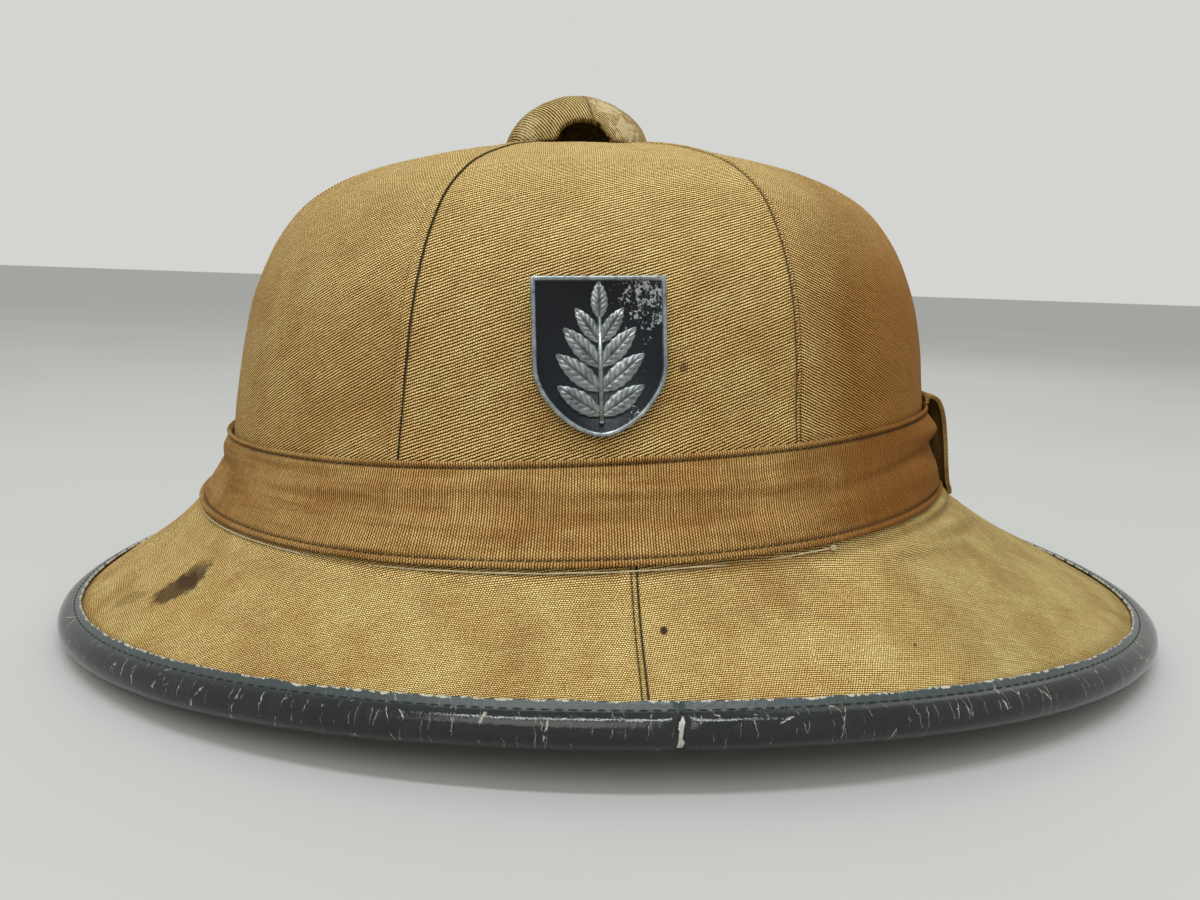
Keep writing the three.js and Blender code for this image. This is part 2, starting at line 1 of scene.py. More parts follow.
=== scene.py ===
"""Pith helmet: canvas over a cork shell, with a cloth band, an air vent, a rolled edge and a shield."""

import math
from collections import namedtuple

import bmesh
import bpy
import numpy as np
from bpy.props import FloatProperty, FloatVectorProperty, PointerProperty
from mathutils import Matrix, Vector


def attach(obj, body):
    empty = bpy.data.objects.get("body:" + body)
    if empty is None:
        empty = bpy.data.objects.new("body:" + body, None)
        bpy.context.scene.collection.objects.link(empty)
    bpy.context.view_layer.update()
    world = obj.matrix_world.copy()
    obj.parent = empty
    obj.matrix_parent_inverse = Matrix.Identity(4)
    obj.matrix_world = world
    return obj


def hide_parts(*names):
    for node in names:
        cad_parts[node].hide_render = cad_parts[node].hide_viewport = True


bl_info = {
    "name": "Pith Helmet",
    "version": (1, 0, 0),
    "blender": (4, 5, 0),
    "location": "3D View > Sidebar > Pith Helmet",
    "description": "Builds a canvas sun helmet around its packed model",
    "category": "Add Mesh",
}

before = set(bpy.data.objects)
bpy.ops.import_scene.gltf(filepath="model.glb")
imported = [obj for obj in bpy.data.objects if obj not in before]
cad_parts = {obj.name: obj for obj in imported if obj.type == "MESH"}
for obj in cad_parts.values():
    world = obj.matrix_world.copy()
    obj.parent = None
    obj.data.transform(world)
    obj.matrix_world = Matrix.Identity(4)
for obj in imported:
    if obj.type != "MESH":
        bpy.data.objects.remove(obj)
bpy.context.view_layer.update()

# Sizes below are in millimetres and are turned to metres when a mesh is written
MM = 0.001

# Sections of the crown, from the air hole down to the brim
Section = namedtuple("Section", "height middle length width flat")
CROWN = [
    Section(145.7, -18.4, 9.5, 9.5, 0.0),
    Section(145.5, -18.0, 20.0, 19.0, 0.3),
    Section(144.1, -14.8, 40.5, 32.5, 0.42),
    Section(140.6, -13.4, 60.0, 48.6, 0.4),
    Section(133.4, -12.9, 81.2, 66.4, 0.32),
    Section(126.6, -12.8, 91.2, 74.8, 0.26),
    Section(117.5, -12.8, 98.4, 80.8, 0.2),
    Section(102.5, -12.8, 105.4, 86.8, 0.15),
    Section(85.5, -12.9, 109.2, 90.0, 0.1),
    Section(70.0, -13.2, 111.4, 92.0, 0.08),
    Section(48.5, -13.6, 114.7, 101.0, 0.05),
    Section(38.0, -13.6, 122.0, 108.0, 0.03),
]
CROWN_CENTRE = -13.6
CROWN_SLOPE = 0.024

# The brim from the crown's foot to the roll: share of its way out and of its drop
Reach = namedtuple("Reach", "out drop")
BRIM = [Reach(0.13, 0.17), Reach(0.35, 0.42), Reach(0.7, 0.73), Reach(1.0, 1.0)]

RIM_WIDTH = 128.4
RIM_LENGTH = 170.8
RIM_WIDEST = 5.5
RIM_SQUARENESS = 2.07
RIM_LIFT = 10.1
ROLL_RADIUS = 4.2
REST_FLAT = 0.2
FLANGE_REACH = 4.7
UNDER_REACH = 5.4
SLOT_FLOOR = 0.5
BUTT_ANGLE = 3.9
BUTT_GAP = 0.75

CANVAS = 0.9
LAYER_GAP = 0.3
SHELL = 3.2
HALF_DEPTH = (CANVAS + LAYER_GAP + SHELL) / 2
CANVAS_JOINT = 46.0

# Gores of the crown between their seams, with the turn of the cloth's rib on each and the place of its groove
Gore = namedtuple("Gore", "name start stop rib groove")
GORES = [
    Gore("gore_left", -28.0, 24.5, 20.0, 1.35),
    Gore("gore_rear_left", 24.5, 90.0, -24.0, 1.35),
    Gore("gore_rear_right", 90.0, 155.5, 22.0, 1.35),
    Gore("gore_right", 155.5, 208.0, 15.0, 2.9),
    Gore("gore_front_right", 208.0, 270.0, -24.0, 1.35),
    Gore("gore_front_left", 270.0, 332.0, 28.0, 2.9),
]
SEAMS = np.array([gore.start for gore in GORES] + [GORES[-1].stop])

Cover = namedtuple("Cover", "name start stop rib")
COVERS = [
    Cover("brim_cover_front", 178.5, 361.5, 100.0),
    Cover("brim_cover_rear", 1.5, 178.5, 66.0),
]

BAND_BOTTOM = 41.5
BAND_BOTTOM_RISE = 0.017
BAND_TOP = 64.3
BAND_TOP_RISE = 0.037
BAND_GAP = 0.35
BAND_CLOTH = 0.9
LAP_STITCH = 1.35
THREAD_KNOT = 0.6
PIPING = 1.25
KEEPER_ANGLE = 72.5
KEEPER_WIDTH = 13.0
KEEPER_THICKNESS = 1.3

# Soft folds of the band: place round the crown, share of the width, spreads, and height
Fold = namedtuple("Fold", "angle share along across height tilt")
BAND_FOLDS = [
    Fold(60.0, 0.78, 7.5, 0.13, 3.4, 0.0),
    Fold(57.0, 0.3, 9.0, 0.22, 2.3, 0.0),
    Fold(52.0, 0.55, 13.0, 0.05, -1.3, 0.003),
    Fold(84.0, 0.55, 6.0, 0.4, 2.0, 0.0),
    Fold(36.0, 0.3, 20.0, 0.12, 0.8, 0.004),
    Fold(8.0, 0.66, 26.0, 0.07, 0.75, -0.003),
    Fold(-2.0, 0.42, 30.0, 0.08, -0.4, -0.003),
    Fold(-36.0, 0.66, 22.0, 0.08, 0.7, 0.004),
    Fold(-46.0, 0.34, 14.0, 0.13, 0.5, 0.004),
    Fold(-76.0, 0.76, 16.0, 0.1, 0.6, 0.0),
    Fold(-72.0, 0.56, 16.0, 0.07, -0.5, 0.0),
    Fold(-98.0, 0.3, 10.0, 0.14, 0.5, 0.0),
    Fold(104.0, 0.7, 22.0, 0.1, 0.8, 0.002),
    Fold(118.0, 0.35, 20.0, 0.1, 0.6, -0.002),
    Fold(150.0, 0.62, 26.0, 0.08, 0.6, 0.003),
    Fold(182.0, 0.36, 24.0, 0.1, 0.5, -0.003),
    Fold(214.0, 0.7, 22.0, 0.1, 0.7, 0.002),
    Fold(240.0, 0.3, 20.0, 0.12, 0.8, 0.0),
]

# Outer face of the keeper: level distance from the crown's wall, and height
Bend = namedtuple("Bend", "proud height")
KEEPER = [
    Bend(0.7, 68.4),
    Bend(1.0, 70.0),
    Bend(2.6, 71.0),
    Bend(5.0, 69.6),
    Bend(6.4, 65.0),
    Bend(7.0, 57.0),
    Bend(5.8, 49.0),
    Bend(4.0, 44.0),
    Bend(3.2, 41.6),
    Bend(2.1, 40.2),
    Bend(0.8, 39.8),
]

# Soft ridges of the brim's cloth: place round the crown, distance out from the band, spreads, height
Ridge = namedtuple("Ridge", "angle out along across height tilt")
BRIM_RIDGES = [
    Ridge(58.0, 2.4, 15.0, 1.2, 2.1, 0.03),
    Ridge(56.0, 7.5, 11.0, 1.9, 1.7, 0.22),
    Ridge(50.0, 11.0, 9.0, 2.6, 0.5, 0.5),
    Ridge(36.0, 7.0, 7.0, 2.0, 0.35, -0.3),
    Ridge(22.0, 16.0, 9.0, 3.0, 0.25, 0.4),
    Ridge(-60.0, 5.0, 20.0, 2.4, 0.4, 0.0),
    Ridge(120.0, 6.0, 16.0, 2.4, 0.6, 0.1),
    Ridge(200.0, 7.0, 18.0, 2.6, 0.4, 0.1),
    Ridge(42.0, 8.0, 9.0, 1.5, 0.8, 0.3),
]

# Outer face of the vent cap
Ring = namedtuple("Ring", "radius height")
VENT = [
    Ring(0.0, 162.0),
    Ring(3.2, 161.9),
    Ring(6.6, 161.4),
    Ring(12.0, 159.3),
    Ring(16.2, 156.6),
    Ring(19.2, 153.9),
    Ring(21.2, 151.2),
    Ring(22.5, 148.4),
    Ring(22.9, 146.0),
]
VENT_WALL = 1.5
SLIT_HALF_WIDTH = 8.3
SLIT_HEIGHT = 6.4

EYELET_TUBE = 7.6
EYELET_WALL = 1.0
EYELET_FLANGE = 14.0
EYELET_SEAT = 144.8
EYELET_TOP = 147.8
EYELET_BOTTOM = 140.6

BADGE_WIDTH = 31.8
BADGE_HEIGHT = 37.5
BADGE_STRAIGHT = 0.56
BADGE_TOP = 105.9
BADGE_TURN = 2.2
BADGE_ALONG = -5.8
BADGE_PLATE = 1.3
BADGE_RIM = 1.05
BADGE_RIM_HEIGHT = 0.7
BADGE_LEAN = 9.4

# Leaves of the sprig, in pairs up its stem: height of the foot, length, width and turn from the stem
Leaf = namedtuple("Leaf", "foot length width turn")
LEAVES = [
    Leaf(0.15, 12.4, 5.2, 56.0),
    Leaf(0.3, 13.6, 5.5, 50.0),
    Leaf(0.45, 12.6, 5.1, 43.0),
    Leaf(0.6, 10.0, 4.2, 35.0),
]
TOP_LEAF = Leaf(0.75, 8.8, 4.4, 0.0)
STEM_WIDTH = 1.3
STEM_FROM = 0.1

# Marks on the cloth: middle, radii and turn in metres and degrees, and how dark they are
Mark = namedtuple("Mark", "x y z long wide turn depth")
BRIM_MARKS = [
    Mark(0.0672, -0.1243, 0.0240, 0.0088, 0.0040, 78.0, 0.8),
    Mark(0.0665, -0.1208, 0.0268, 0.0058, 0.0040, 78.0, 0.55),
    Mark(0.0595, -0.1390, 0.0172, 0.0060, 0.0022, 66.0, 0.3),
    Mark(0.1141, -0.0051, 0.0299, 0.0011, 0.0009, 0.0, 0.95),
    Mark(0.1105, 0.0552, 0.0242, 0.0005, 0.0005, 0.0, 0.7),
]
VENT_MARKS = [
    Mark(0.0150, -0.0350, 0.1500, 0.0065, 0.0050, 20.0, 0.3),
    Mark(0.0170, -0.0050, 0.1510, 0.0070, 0.0060, -20.0, 0.55),
    Mark(0.0130, -0.0110, 0.1570, 0.0075, 0.0060, 10.0, 0.55),
]
CROWN_MARKS = [Mark(0.0883, 0.0016, 0.0855, 0.0013, 0.0011, 0.0, 0.55)]


# The helmet's face

def crown_sections(angles):
    """Points on every section of the crown at these angles: sections by angles by xyz."""
    turned = np.mod(angles - SEAMS[0], 360) + SEAMS[0]
    gore = np.clip(np.searchsorted(SEAMS, turned, side="right") - 1, 0, len(GORES) - 1)
    start = SEAMS[gore]
    stop = SEAMS[gore + 1]
    share = ((turned - start) / (stop - start))[:, None]

    def oval(section, degrees):
        turn = np.radians(degrees)
        return np.stack([section.width * np.cos(turn), section.length * np.sin(turn)], -1)

    rows = []
    for section in CROWN:
        chord = oval(section, start) * (1 - share) + oval(section, stop) * share
        flat = oval(section, turned) * (1 - section.flat) + chord * section.flat
        y = section.middle + flat[:, 1]
        z = section.height + CROWN_SLOPE * (y - CROWN_CENTRE)
        rows.append(np.stack([flat[:, 0], y, z], -1))
    return np.stack(rows)


def roll_centre(direction):
    """Middle of the rolled edge in these directions from the crown's centre."""
    inside = np.zeros(len(direction))
    outside = np.full(len(direction), 2 * RIM_LENGTH)
    for _ in range(40):
        middle = (inside + outside) / 2
        x = direction[:, 0] * middle
        y = CROWN_CENTRE + direction[:, 1] * middle
        reach = RIM_LENGTH + np.sign(RIM_WIDEST - y) * RIM_WIDEST
        share = np.abs(x / RIM_WIDTH) ** RIM_SQUARENESS + np.abs((y - RIM_WIDEST) / reach) ** RIM_SQUARENESS
        inside = np.where(share < 1, middle, inside)
        outside = np.where(share < 1, outside, middle)
    x = direction[:, 0] * inside
    y = CROWN_CENTRE + direction[:, 1] * inside
    lowest = ROLL_RADIUS * math.cos(math.radians(12)) - REST_FLAT
    return np.stack([x, y, lowest + RIM_LIFT * (x / RIM_WIDTH) ** 2], -1)


def edge_sections(angles):
    """Foot of the crown, middle of the roll and the directions there: out, up the brim, and square to it."""
    foot = crown_sections(angles)[-1]
    direction = foot[:, :2] - (0, CROWN_CENTRE)
    direction /= np.linalg.norm(direction, axis=1)[:, None]
    cos, sin = math.cos(0.01), math.sin(0.01)
    turned = np.stack([direction[:, 0] * cos - direction[:, 1] * sin,
                       direction[:, 0] * sin + direction[:, 1] * cos], -1)
    centre = roll_centre(direction)
    along = roll_centre(turned) - centre
    along[:, 2] = 0
    along /= np.linalg.norm(along, axis=1)[:, None]
    out = np.stack([along[:, 1], -along[:, 0], np.zeros(len(angles))], -1)
    up = np.array([0.0, 0.0, 1.0])
    knee_at = BRIM[-2]
    end = centre.copy()
    for _ in range(4):
        knee = foot + (end - foot) * knee_at.out
        rise = foot[:, 2] + (end[:, 2] - foot[:, 2]) * knee_at.drop - end[:, 2]
        run = np.hypot(knee[:, 0] - end[:, 0], knee[:, 1] - end[:, 1])
        tilt = np.arctan2(rise, run)[:, None]
        slope = -out * np.cos(tilt) + up * np.sin(tilt)
        square = out * np.sin(tilt) + up * np.cos(tilt)
        end = centre + slope * (SLOT_FLOOR + LAYER_GAP) + square * HALF_DEPTH
    return {"foot": foot, "centre": centre, "out": out, "slope": slope, "square": square, "end": end}


def face_rows(angles):
    """Rows of the canvas face, from the air hole down the crown and out over the brim."""
    angles = np.asarray(angles, float)
    edge = edge_sections(angles)
    rows = list(crown_sections(angles))
    for reach in BRIM:
        point = edge["foot"] + (edge["end"] - edge["foot"]) * reach.out
        point[:, 2] = edge["foot"][:, 2] + (edge["end"][:, 2] - edge["foot"][:, 2]) * reach.drop
        rows.append(point)
    return np.stack(rows)


def row_places():
    """Distance of each row from the air hole, measured down the face, averaged round the helmet."""
    rows = face_rows(np.arange(0.0, 360.0, 15.0))
    steps = np.linalg.norm(np.diff(rows, axis=0), axis=2).mean(axis=1)
    return np.concatenate([[0.0], np.cumsum(steps)])


PLACES = row_places()
CROWN_HEIGHTS = np.array([section.height for section in CROWN])
CROWN_FOOT = PLACES[len(CROWN) - 1]
FACE_END = PLACES[-1]


def place_of_height(height):
    """Distance down the face of a height on the crown's wall."""
    return np.interp(-np.asarray(height), -CROWN_HEIGHTS, PLACES[:len(CROWN)])


def smooth_rows(rows, places):
    """Points on a smooth curve through the rows, at these distances down the face."""
    steps = np.diff(PLACES)
    rates = np.diff(rows, axis=0) / steps[:, None, None]
    tangents = np.empty_like(rows)
    before, after = steps[:-1, None, None], steps[1:, None, None]
    tangents[1:-1] = (rates[:-1] * after + rates[1:] * before) / (before + after)
    tangents[0] = rates[0]
    tangents[-1] = rates[-1]
    index = np.clip(np.searchsorted(PLACES, places, side="right") - 1, 0, len(steps) - 1)
    t = ((places - PLACES[index]) / steps[index])[:, None, None]
    length = steps[index][:, None, None]
    return (rows[index] * (2 * t**3 - 3 * t**2 + 1) + tangents[index] * length * (t**3 - 2 * t**2 + t)
            + rows[index + 1] * (3 * t**2 - 2 * t**3) + tangents[index + 1] * length * (t**3 - t**2))


def face(angles, places):
    """Points of the canvas face and its outward directions, places by angles by xyz."""
    points = smooth_rows(face_rows(angles), np.asarray(places, float))
    down = np.gradient(points, axis=0)
    round_ = np.gradient(points, axis=1)
    normals = np.cross(down, round_)
    normals /= np.linalg.norm(normals, axis=2)[:, :, None]
    return points, normals


def ring_face(angles, places):
    """As face, but for a full turn, so that the directions match where it closes."""
    step = angles[1] - angles[0]
    wide = np.concatenate([[angles[0] - step], angles, [angles[-1] + step]])
    points, normals = face(wide, places)
    return points[:, 1:-1], normals[:, 1:-1]


def lengths_along(points):
    """Distance along each row of points from its first one."""
    steps = np.linalg.norm(np.diff(points, axis=1), axis=2)
    return np.concatenate([np.zeros((len(points), 1)), np.cumsum(steps, axis=1)], axis=1)


def bump_over(x, middle, spread):
    return np.exp(-(((x - middle) / spread) ** 2))


def ease(x):
    t = np.clip(x, 0, 1)
    return t * t * (3 - 2 * t)


def ripple(u, v, size, seed):
    """Slow unevenness from a few crossing waves, from -1 to 1."""
    turns = np.random.default_rng(seed)
    total = np.zeros(np.broadcast(u, v).shape)
    for _ in range(7):
        angle, phase, scale = turns.uniform(0, math.tau), turns.uniform(0, math.tau), turns.uniform(0.6, 1.7)
        total = total + np.sin((u * math.cos(angle) + v * math.sin(angle)) * math.tau
                               / (size * scale) + phase)
    return total / 7


# Meshes

def grid_object(name, points, cloth=None, wear=None, closes=False, upwards=False):
    """A sheet of faces through a table of points, row by row, with the cloth's map in metres."""
    rows, columns = points.shape[:2]
    bm = bmesh.new()
    map_layer = bm.loops.layers.uv.new("cloth")
    wear_and_shade_layer = bm.verts.layers.float.new("wear")
    bmesh.ops.create_grid(bm, x_segments=columns - 1, y_segments=rows - 1, size=0.5)
    row_of = {vert: round((vert.co.y + 0.5) * (rows - 1)) for vert in bm.verts}
    column_of = {vert: round((vert.co.x + 0.5) * (columns - 1)) for vert in bm.verts}
    if cloth is not None:
        for polygon in bm.faces:
            for loop in polygon.loops:
                loop[map_layer].uv = cloth[row_of[loop.vert], column_of[loop.vert]] * MM
    for vert in bm.verts:
        at = row_of[vert], column_of[vert]
        vert.co = points[at] * MM
        if wear is not None:
            vert[wear_and_shade_layer] = wear[at]
    if not upwards:
        bmesh.ops.reverse_faces(bm, faces=bm.faces)
    if closes:
        bmesh.ops.remove_doubles(bm, verts=bm.verts, dist=1e-7)
    return finish_mesh(name, bm)


def finish_mesh(name, bm):
    mesh = bpy.data.meshes.new(name)
    bm.to_mesh(mesh)
    bm.free()
    mesh.shade_smooth()
    piece = bpy.data.objects.new(name, mesh)
    bpy.context.scene.collection.objects.link(piece)
    return piece


def thicken(piece, thickness):
    """Give a sheet its wall, on the inner side."""
    wall = piece.modifiers.new("wall", "SOLIDIFY")
    wall.thickness = thickness * MM
    wall.offset = -1
    wall.use_even_offset = True
    return piece


def dress(piece, finish, slot, *nodes):
    piece.data.materials.append(finish)
    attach(piece, "root")
    if nodes:
        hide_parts(*nodes)
    return piece


def stitches(name, paths, pitch, length, radius, slant=0.0):
    """Short threads along paths; each path is points and outward directions."""
    bm = bmesh.new()
    bmesh.ops.create_uvsphere(bm, u_segments=6, v_segments=4, radius=1)
    shape = np.array([vert.co[:] for vert in bm.verts])
    faces = [[vert.index for vert in polygon.verts] for polygon in bm.faces]
    bm.free()
    verts, polygons = [], []
    for points, normals in paths:
        steps = np.linalg.norm(np.diff(points, axis=0), axis=1)
        places = np.concatenate([[0.0], np.cumsum(steps)])
        count = max(int(places[-1] / pitch), 1)
        at = (np.arange(count) + 0.5) * places[-1] / count
        middle, ahead, behind, out = (
            np.stack([np.interp(where, places, table[:, k]) for k in range(3)], -1)
            for where, table in ((at, points), (at + 0.4, points), (at - 0.4, points), (at, normals)))
        out /= np.linalg.norm(out, axis=1)[:, None]
        along = ahead - behind
        along -= out * (along * out).sum(1)[:, None]
        along /= np.linalg.norm(along, axis=1)[:, None]
        across = np.cross(out, along)
        along, across = (along * math.cos(slant) + across * math.sin(slant),
                         across * math.cos(slant) - along * math.sin(slant))
        for i in range(count):
            first = len(verts) * len(shape)
            polygons += [[first + index for index in polygon] for polygon in faces]
            verts.append(middle[i] + shape[:, :1] * along[i] * length / 2
                         + shape[:, 1:2] * across[i] * radius + shape[:, 2:] * out[i] * radius)
    mesh = bpy.data.meshes.new(name)
    mesh.from_pydata(np.concatenate(verts) * MM, [], polygons)
    mesh.shade_smooth()
    piece = bpy.data.objects.new(name, mesh)
    bpy.context.scene.collection.objects.link(piece)
    return piece


def tube_object(name, points, radius, sides=8):
    """A round thread through points."""
    curve = bpy.data.curves.new(name, "CURVE")
    curve.dimensions = "3D"
    curve.bevel_depth = radius * MM
    curve.bevel_resolution = sides // 4
    curve.use_fill_caps = True
    spline = curve.splines.new("POLY")
    spline.points.add(len(points) - 1)
    for knot, point in zip(spline.points, points):
        knot.co = (*(np.asarray(point) * MM), 1)
    drawn = bpy.data.objects.new(name, curve)
    bpy.context.scene.collection.objects.link(drawn)
    bpy.context.view_layer.update()
    mesh = bpy.data.meshes.new_from_object(drawn.evaluated_get(bpy.context.evaluated_depsgraph_get()))
    bpy.data.objects.remove(drawn)
    mesh.shade_smooth()
    mesh.name = name
    piece = bpy.data.objects.new(name, mesh)
    bpy.context.scene.collection.objects.link(piece)
    return piece


# Materials

class Finish:
    """A material and a short way to add nodes to it."""

    def __init__(self, name, **inputs):
        self.material = bpy.data.materials.new(name)
        self.material.use_nodes = True
        self.tree = self.material.node_tree
        self.shader = self.tree.nodes["Principled BSDF"]
        for socket, value in inputs.items():
            self.shader.inputs[socket.replace("_", " ").title().replace("Ior", "IOR")].default_value = value

    def add(self, kind, inputs=(), **settings):
        node = self.tree.nodes.new(kind)
        for key, value in settings.items():
            setattr(node, key, value)
        for socket, value in dict(inputs).items():
            if isinstance(value, bpy.types.NodeSocket):
                self.tree.links.new(value, node.inputs[socket])
            else:
                node.inputs[socket].default_value = value
        return node

    def math(self, operation, first, second=0.0, third=0.0, clamp=False):
        inputs = {0: first, 1: second, 2: third}
        return self.add("ShaderNodeMath", inputs, operation=operation, use_clamp=clamp).outputs[0]

    def vector(self, operation, first, second=(0, 0, 0)):
        return self.add("ShaderNodeVectorMath", {0: first, 1: second}, operation=operation).outputs[0]

    def noise(self, vector, scale, detail=3.0, roughness=0.55):
        inputs = {"Vector": vector, "Scale": scale, "Detail": detail, "Roughness": roughness}
        return self.add("ShaderNodeTexNoise", inputs)

    def ramp(self, value, low, high, start=0.0, stop=1.0):
        inputs = {"Value": value, "From Min": low, "From Max": high, "To Min": start, "To Max": stop}
        return self.add("ShaderNodeMapRange", inputs, clamp=True).outputs["Result"]

    def mix(self, share, first, second, blend="MIX"):
        node = self.add("ShaderNodeMix", {"Factor": share}, data_type="RGBA", blend_type=blend)
        for socket, value in ((6, first), (7, second)):
            if isinstance(value, bpy.types.NodeSocket):
                self.tree.links.new(value, node.inputs[socket])
            else:
                node.inputs[socket].default_value = (*value, 1.0)
        return node.outputs[2]

    def place(self):
        return self.add("ShaderNodeTexCoord").outputs["Object"]

    def cloth(self):
        return self.add("ShaderNodeUVMap", uv_map="cloth").outputs["UV"]

    def wear(self):
        return self.add("ShaderNodeAttribute", attribute_name="wear").outputs["Fac"]

    def bump(self, height, distance, strength=1.0, normal=None):
        inputs = {"Height": height, "Distance": distance, "Strength": strength}
        if normal is not None:
            inputs["Normal"] = normal
        return self.add("ShaderNodeBump", inputs).outputs["Normal"]

    def set(self, socket, value):
        self.tree.links.new(value, self.shader.inputs[socket])


def mark_share(finish, place, mark, blur):
    """How much a mark covers a point, from 0 to 1, with an uneven outline."""
    turn = (0.0, 0.0, math.radians(mark.turn))
    inputs = {
        "Vector": place,
        "Location": (mark.x, mark.y, mark.z),
        "Rotation": turn,
        "Scale": (mark.long, mark.wide, mark.long),
    }
    inside = finish.add("ShaderNodeMapping", inputs, vector_type="TEXTURE").outputs[0]
    away = finish.add("ShaderNodeVectorMath", {0: inside}, operation="LENGTH").outputs["Value"]
    uneven = finish.math("ADD", away, blur)
    return finish.ramp(uneven, 1.15, 0.75, 0.0, mark.depth)


